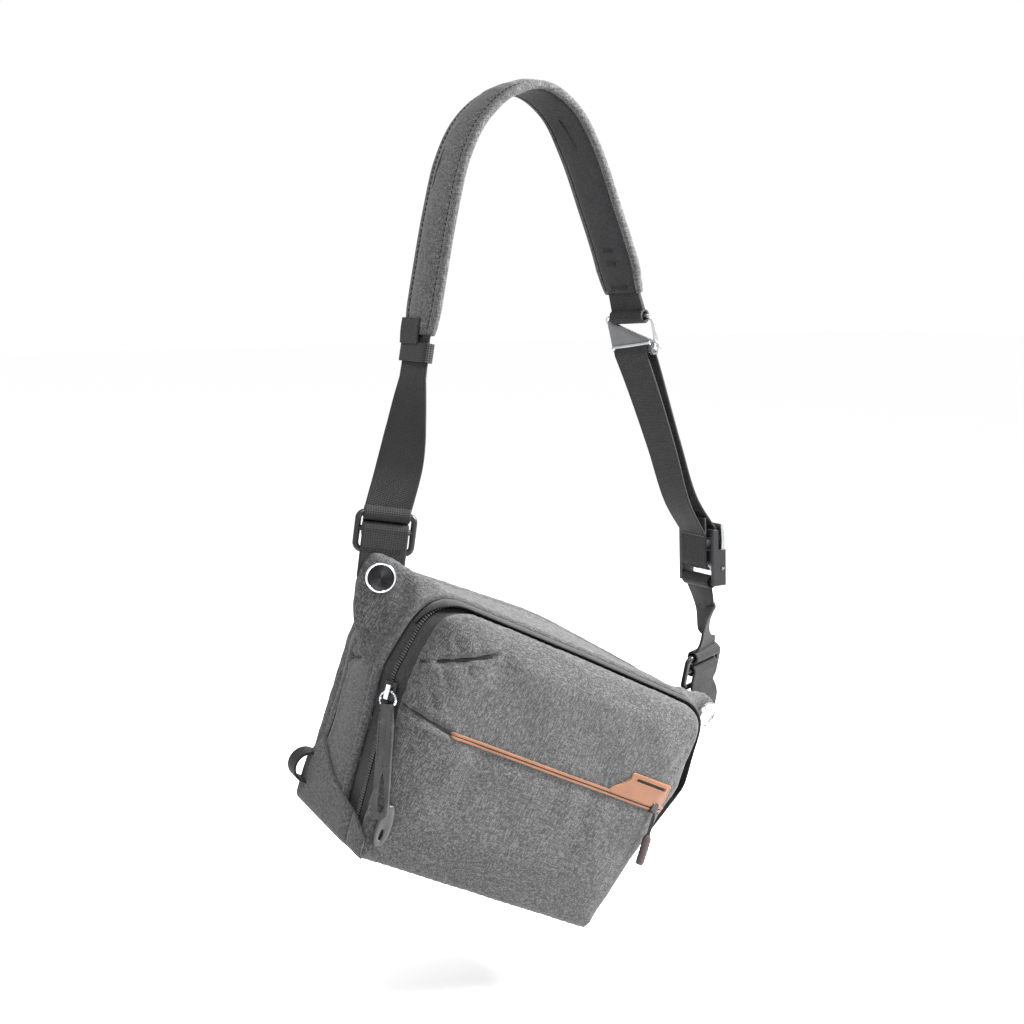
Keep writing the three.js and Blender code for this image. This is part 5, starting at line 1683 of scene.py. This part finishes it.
# ---------------------------------------------------------------- webbing and metal of the strap
def strap_ribbon(name, points, width, thick, turns, material, count=120, widths=None, sag=0.0):
    path = smooth_path(points, count)
    _, across, out = frames_along(path, turns)
    return ribbon(name, path, across, out, width, thick, material, widths=widths, sag=sag)


def bar_sleeve(name, matrix, width, radius, z, material=WEBBING, thick=1.9):
    """Webbing wrapped round a bar that runs along the group's x axis."""
    a = np.linspace(0, 2 * math.pi, 36, endpoint=False)
    centres = np.stack([np.zeros(36), np.cos(a) * radius, z + np.sin(a) * radius], 1)
    outs = np.stack([np.zeros(36), np.cos(a), np.sin(a)], 1)
    acrosses = np.tile((1.0, 0, 0), (36, 1))
    return ribbon(name, centres, acrosses, outs, width, thick, material, matrix, closed=True)


def buckle(name, matrix):
    """A frame of round rod with a middle bar."""
    x, z, r = FRAME_W / 2 - ROD / 2, FRAME_H / 2 - ROD / 2, 4.5
    line = []
    for cx, cz, start in ((x - r, z - r, 0), (-x + r, z - r, 90), (-x + r, -z + r, 180), (x - r, -z + r, 270)):
        for a in np.linspace(start, start + 90, 12):
            line.append((cx + r * math.cos(rad(a)), 0, cz + r * math.sin(rad(a))))
    ring = tube("t", densify(line + line[:1], 1.5)[:-1], ROD / 2, BLACK_METAL, matrix, 16, closed=True)
    middle = tube("t", [(-x, 0, MIDDLE_BAR), (-x / 2, 0, MIDDLE_BAR), (0, 0, MIDDLE_BAR), (x / 2, 0, MIDDLE_BAR), (x, 0, MIDDLE_BAR)], 1.9, BLACK_METAL, matrix, 16)
    return joined(name, [ring, middle])


def local(matrix, *p):
    return matrix @ Vector(p)


piece(buckle("left_buckle_frame", left_frame), "left_arm", "black_metal", "frame_left")
piece(buckle("right_buckle_frame", right_frame), "right_arm", "black_metal", "frame_right")

# Left: webbing down from the pad, turning to the frame, and an anchor down into the wing.
left_top = local(left_frame, 0, 0, TOP_BAR + 1.5)
left_run = [left_top, (-103, 0, -245), (-95, 0, -200), (-88.6, 0, -160)]
left_web = strap_ribbon("left_webbing", left_run, 31.5, 2.0, [turn_to(left_up, left_across), 56, 26, 4, 0], WEBBING, 150)
doubling = bar_sleeve("t", left_frame, 31.5, 4.1, TOP_BAR)
tail = strap_ribbon(
    "t", [local(left_frame, 0, y, z) for y, z in ((3.6, TOP_BAR + 2), (3.8, 8), (3.6, 3), (3.4, -1))], 31, 1.8,
    [turn_to(-left_up, left_across)] * 2, WEBBING, 16)
piece(joined("left_webbing", [left_web, doubling, tail]), "left_arm", "webbing", "webbing_left")
anchor_tongue = ribbon(
    "t",
    [local(left_hub, 0, 0, z) for z in np.linspace(-2, RISE + 2, 24)],
    [left_hub.to_3x3() @ Vector((1, 0, 0))] * 24,
    [left_hub.to_3x3() @ Vector((0, -1, 0))] * 24,
    31.5, 2.2, WEBBING)
piece(joined("left_anchor_webbing", [anchor_tongue, bar_sleeve("t", left_frame, 31.5, 4.0, MIDDLE_BAR)]), "left_arm", "webbing", "anchor_left")
tack_lines = []
for z in (17, 19):
    line = [local(left_hub, x, -1.2, z) for x in np.linspace(-13.5, 13.5, 30)]
    tack_lines.append(stitches("t", line, [left_hub.to_3x3() @ Vector((0, -1, 0))] * 30, DARK_THREAD, 1.8, 2.4, 0.25, None, 0.1))
piece(joined("left_anchor_stitches", tack_lines), "left_arm", "webbing")

# Keeper loop and box-stitched patch at the pad's left end.
keeper = frame_at((-90.3, 0, -173), (0, 1, 0), unit(0.17, 0, 0.985))
keeper_ring = []
for a in np.linspace(0, 2 * math.pi, 72, endpoint=False):
    c, s = math.cos(a), math.sin(a)
    keeper_ring.append((18.0 * np.sign(c) * abs(c) ** 0.22, 3.3 * np.sign(s) * abs(s) ** 0.5, 0))
keeper_ring = np.array(keeper_ring)
outs = np.stack([keeper_ring[:, 0] / 18**2, keeper_ring[:, 1] / 3.3**2, np.zeros(72)], 1)
outs /= np.linalg.norm(outs, axis=1)[:, None]
keeper_web = ribbon("keeper_webbing", keeper_ring, np.tile((0, 0, 1.0), (72, 1)), outs, 13, 1.5, WEBBING, keeper, closed=True)
piece(keeper_web, "left_arm", "webbing", "keeper_loop")
patch = strap_ribbon("pad_end_patch", [(-93.6, 4.5, -167), (-92.9, 4.5, -158), (-91.4, 4.5, -150)], 24, 1.6, [0, 0], WEBBING, 24)
piece(patch, "pad", "webbing", "pad_bartack")

# Right: the anchor bends back out of the wing to the frame behind it.
anchor_run = [
    local(right_hub, 0, 0, -4),
    local(right_hub, 0, 0, 10),
    local(right_hub, 0, 0.6, 15),
    local(right_frame, 0, -4.4, 1 - FRAME_H / 2),
    local(right_frame, 0, -4.0, MIDDLE_BAR),
]
right_turn = turn_to(right_up, right_across)
anchor_right = strap_ribbon("t", anchor_run, 27.5, 2.2, [right_turn, right_turn], WEBBING, 40)
piece(joined("right_anchor_webbing", [anchor_right, bar_sleeve("t", right_frame, 27.5, 4.0, MIDDLE_BAR)]), "right_arm", "webbing", "anchor_right")

# The hook plate is built anew as a wedge plate with rods; the webbing from the pad wraps its upper bar.
def hook_form():
    plate = smooth_path([(19.5, 0, 11), (12, 0, 8.2), (0, 0, 3.2), (-12, 0, -1.8), (-17.5, 0, -4.5), (-18.8, 0, -8), (-17.5, 0, -12.5), (-6, 0, -14.2), (8, 0, -15), (17, 0, -15.2), (18.6, 0, -12), (19.6, 0, 0), (20, 0, 8), (19.5, 0, 11)], 121)[:-1]
    middle = plate.mean(0)
    rings = []
    for scale, y in ((0.5, 1.7), (0.93, 1.7), (0.985, 1.4), (1.0, 0.8), (1.0, -0.8), (0.985, -1.4), (0.93, -1.7), (0.5, -1.7)):
        ring = middle + (plate - middle) * scale
        ring[:, 1] = y
        rings.append(ring)
    return loft("hook_wedge_plate", rings, GREY_METAL, hook)


piece(hook_form(), "pad", "aluminium", "hook_plate")
lower_bar = [(18.0, 2.1, -9.4), (6, 2.3, -8.2), (-6, 2.3, -7.0), (-17.6, 2.1, -5.8)]
hook_bars = [rounded_bar("t", lower_bar, 1.5, ALUMINIUM, hook, 30)]
upper_bar = [(19.2, 0, 13.1), (8, 0, 13.1), (-8, 0, 13.1), (-16, 0, 13.1), (-19.6, 0, 11), (-20.6, 0, 4), (-20.4, 0, -5), (-18.4, 0, -10.5), (-15, 0, -9.5)]
hook_bars.append(rounded_bar("t", upper_bar, 1.5, ALUMINIUM, hook, 90))
left_rod = [(19.2, 0, 13.1), (20.2, 0, 11), (19.8, 0, 8)]
hook_bars.append(rounded_bar("t", left_rod, 1.6, ALUMINIUM, hook, 20))
eye = [(-18.6 - 4.6 * math.cos(a), 0.4, -9.4 + 4.6 * math.sin(a)) for a in np.linspace(0, 2 * math.pi, 30)[:-1]]
hook_bars.append(tube("t", eye, 1.3, ALUMINIUM, hook, 12, closed=True))
piece(joined("hook_rods", hook_bars), "pad", "aluminium")
hook_top, hook_bottom = 31 / 2 - 2.4, -31 / 2 + 2.4
loop_top = local(hook, 0, 0, hook_top + 4.6)
pad_end = Vector(STRAP[-1]) + Vector((-1.2, 0, 4))
end_web = strap_ribbon("t", [pad_end, (pad_end + loop_top) / 2, loop_top], 29.5, 3.4, [-10, -16], WEBBING, 24)
piece(joined("pad_end_webbing", [end_web, bar_sleeve("t", hook, 29.5, 4.2, hook_top)]), "pad", "webbing", "pad_end_loop")

# Quick adjuster: its body, pin and lever keep their CAD shapes.
bevelled("adjuster_body", BLACK_METAL, 0.8, 3)
bevelled("lever_pin", ALUMINIUM, 0, levels=1)
bevelled("adjuster_lever", ALUMINIUM, 0.8, 4)
half_high = 42 / 2
bar_top, bar_bottom = half_high - 2.2, -half_high + 2.2
hook_point = local(hook, 0, 0, hook_bottom)
adjuster_point = local(adjuster, 0, 0, bar_top)
run_path = smooth_path([hook_point, (98, 0, -198), (117, 0, -247), (133, 0, -288), adjuster_point], 90)
run_along, run_across, _ = frames_along(run_path, [-16, 0])


def loop_station(i, angle):
    across, along = run_across[i], run_along[i]
    out = np.cross(along, across)
    way = out * math.cos(angle) + along * math.sin(angle)
    u = i / 89
    slim = 3.4 + 0.9 + 0.8 - 2.0 * math.sin(math.pi * u)
    return run_path[i] + way * slim, across, way


stations = [loop_station(i, 0) for i in range(90)]
stations += [loop_station(89, a) for a in np.linspace(0, math.pi, 16)[1:-1]]
stations += [loop_station(i, math.pi) for i in range(89, -1, -1)]
stations += [loop_station(0, math.pi + a) for a in np.linspace(0, math.pi, 16)[1:-1]]
double_web = ribbon("double_webbing", *zip(*stations), 29.5, 1.7, WEBBING, closed=True)
piece(double_web, "right_arm", "webbing", "webbing_right")
# The front layer passes down over the adjuster to its lower slot, under a line of stitches.
front_run = [local(adjuster, 0, y, z) for y, z in ((4.9, 30), (4.6, 20), (4.4, 10), (4.2, 0), (3.6, -6), (1.4, -9))]
front_web = strap_ribbon("adjuster_front_webbing", front_run, 29.5, 1.8, [0, 0], WEBBING, 40)
piece(front_web, "right_arm", "webbing")
line = [local(adjuster, x, 5.75, 16) for x in np.linspace(-14, 14, 40)]
front_stitches = stitches("adjuster_stitches", line, [adjuster.to_3x3() @ Vector((0, 1, 0))] * 40, THREAD, 1.9, 2.8, 0.25, None, 0.12)
piece(front_stitches, "right_arm", "webbing")

low_point = local(adjuster, 0, 0, bar_bottom - 4.2)
frame_top = local(right_frame, 0, 0, TOP_BAR + 1.5)
low_turn = turn_to(-right_up, right_across)
lower = strap_ribbon(
    "t",
    [low_point, (157, 0, -372), local(right_frame, 1, 0, TOP_BAR + 16), frame_top],
    29, 2.0, [0, low_turn * 0.1, low_turn * 0.3, low_turn * 0.8, low_turn], WEBBING, 110,
    widths=np.interp(np.linspace(0, 1, 110), (0, 0.5, 0.8, 1), (30, 28, 23, 25)))
piece(
    joined("lower_webbing", [lower, bar_sleeve("t", adjuster, 30, 4.2, bar_bottom), bar_sleeve("t", right_frame, 28, 4.1, TOP_BAR)]),
    "right_arm", "webbing", "webbing_lower")


# ---------------------------------------------------------------- the right shoulder
def smoothstep(t):
    t = np.clip(t, 0, 1)
    return t * t * (3 - 2 * t)


def draw_in(obj):
    """The wing's pull narrows the upper right end of the bag a little."""
    points = to_bag(coords(obj))
    points[:, 0] -= DRAWN_IN * smoothstep((points[:, 0] - 60) / 60) * smoothstep((points[:, 2] - 112) / 48)
    set_coords(obj, from_bag(points))


DRAWN = "bag_body_shell zip_tape_body zip_tape_hatch zip_teeth_body zip_teeth_hatch zip_cover_flap body_lip_roll"
for name in (DRAWN + " front_panel front_panel_lining side_seam_right end_seam_right").split():
    draw_in(bpy.data.objects[name])
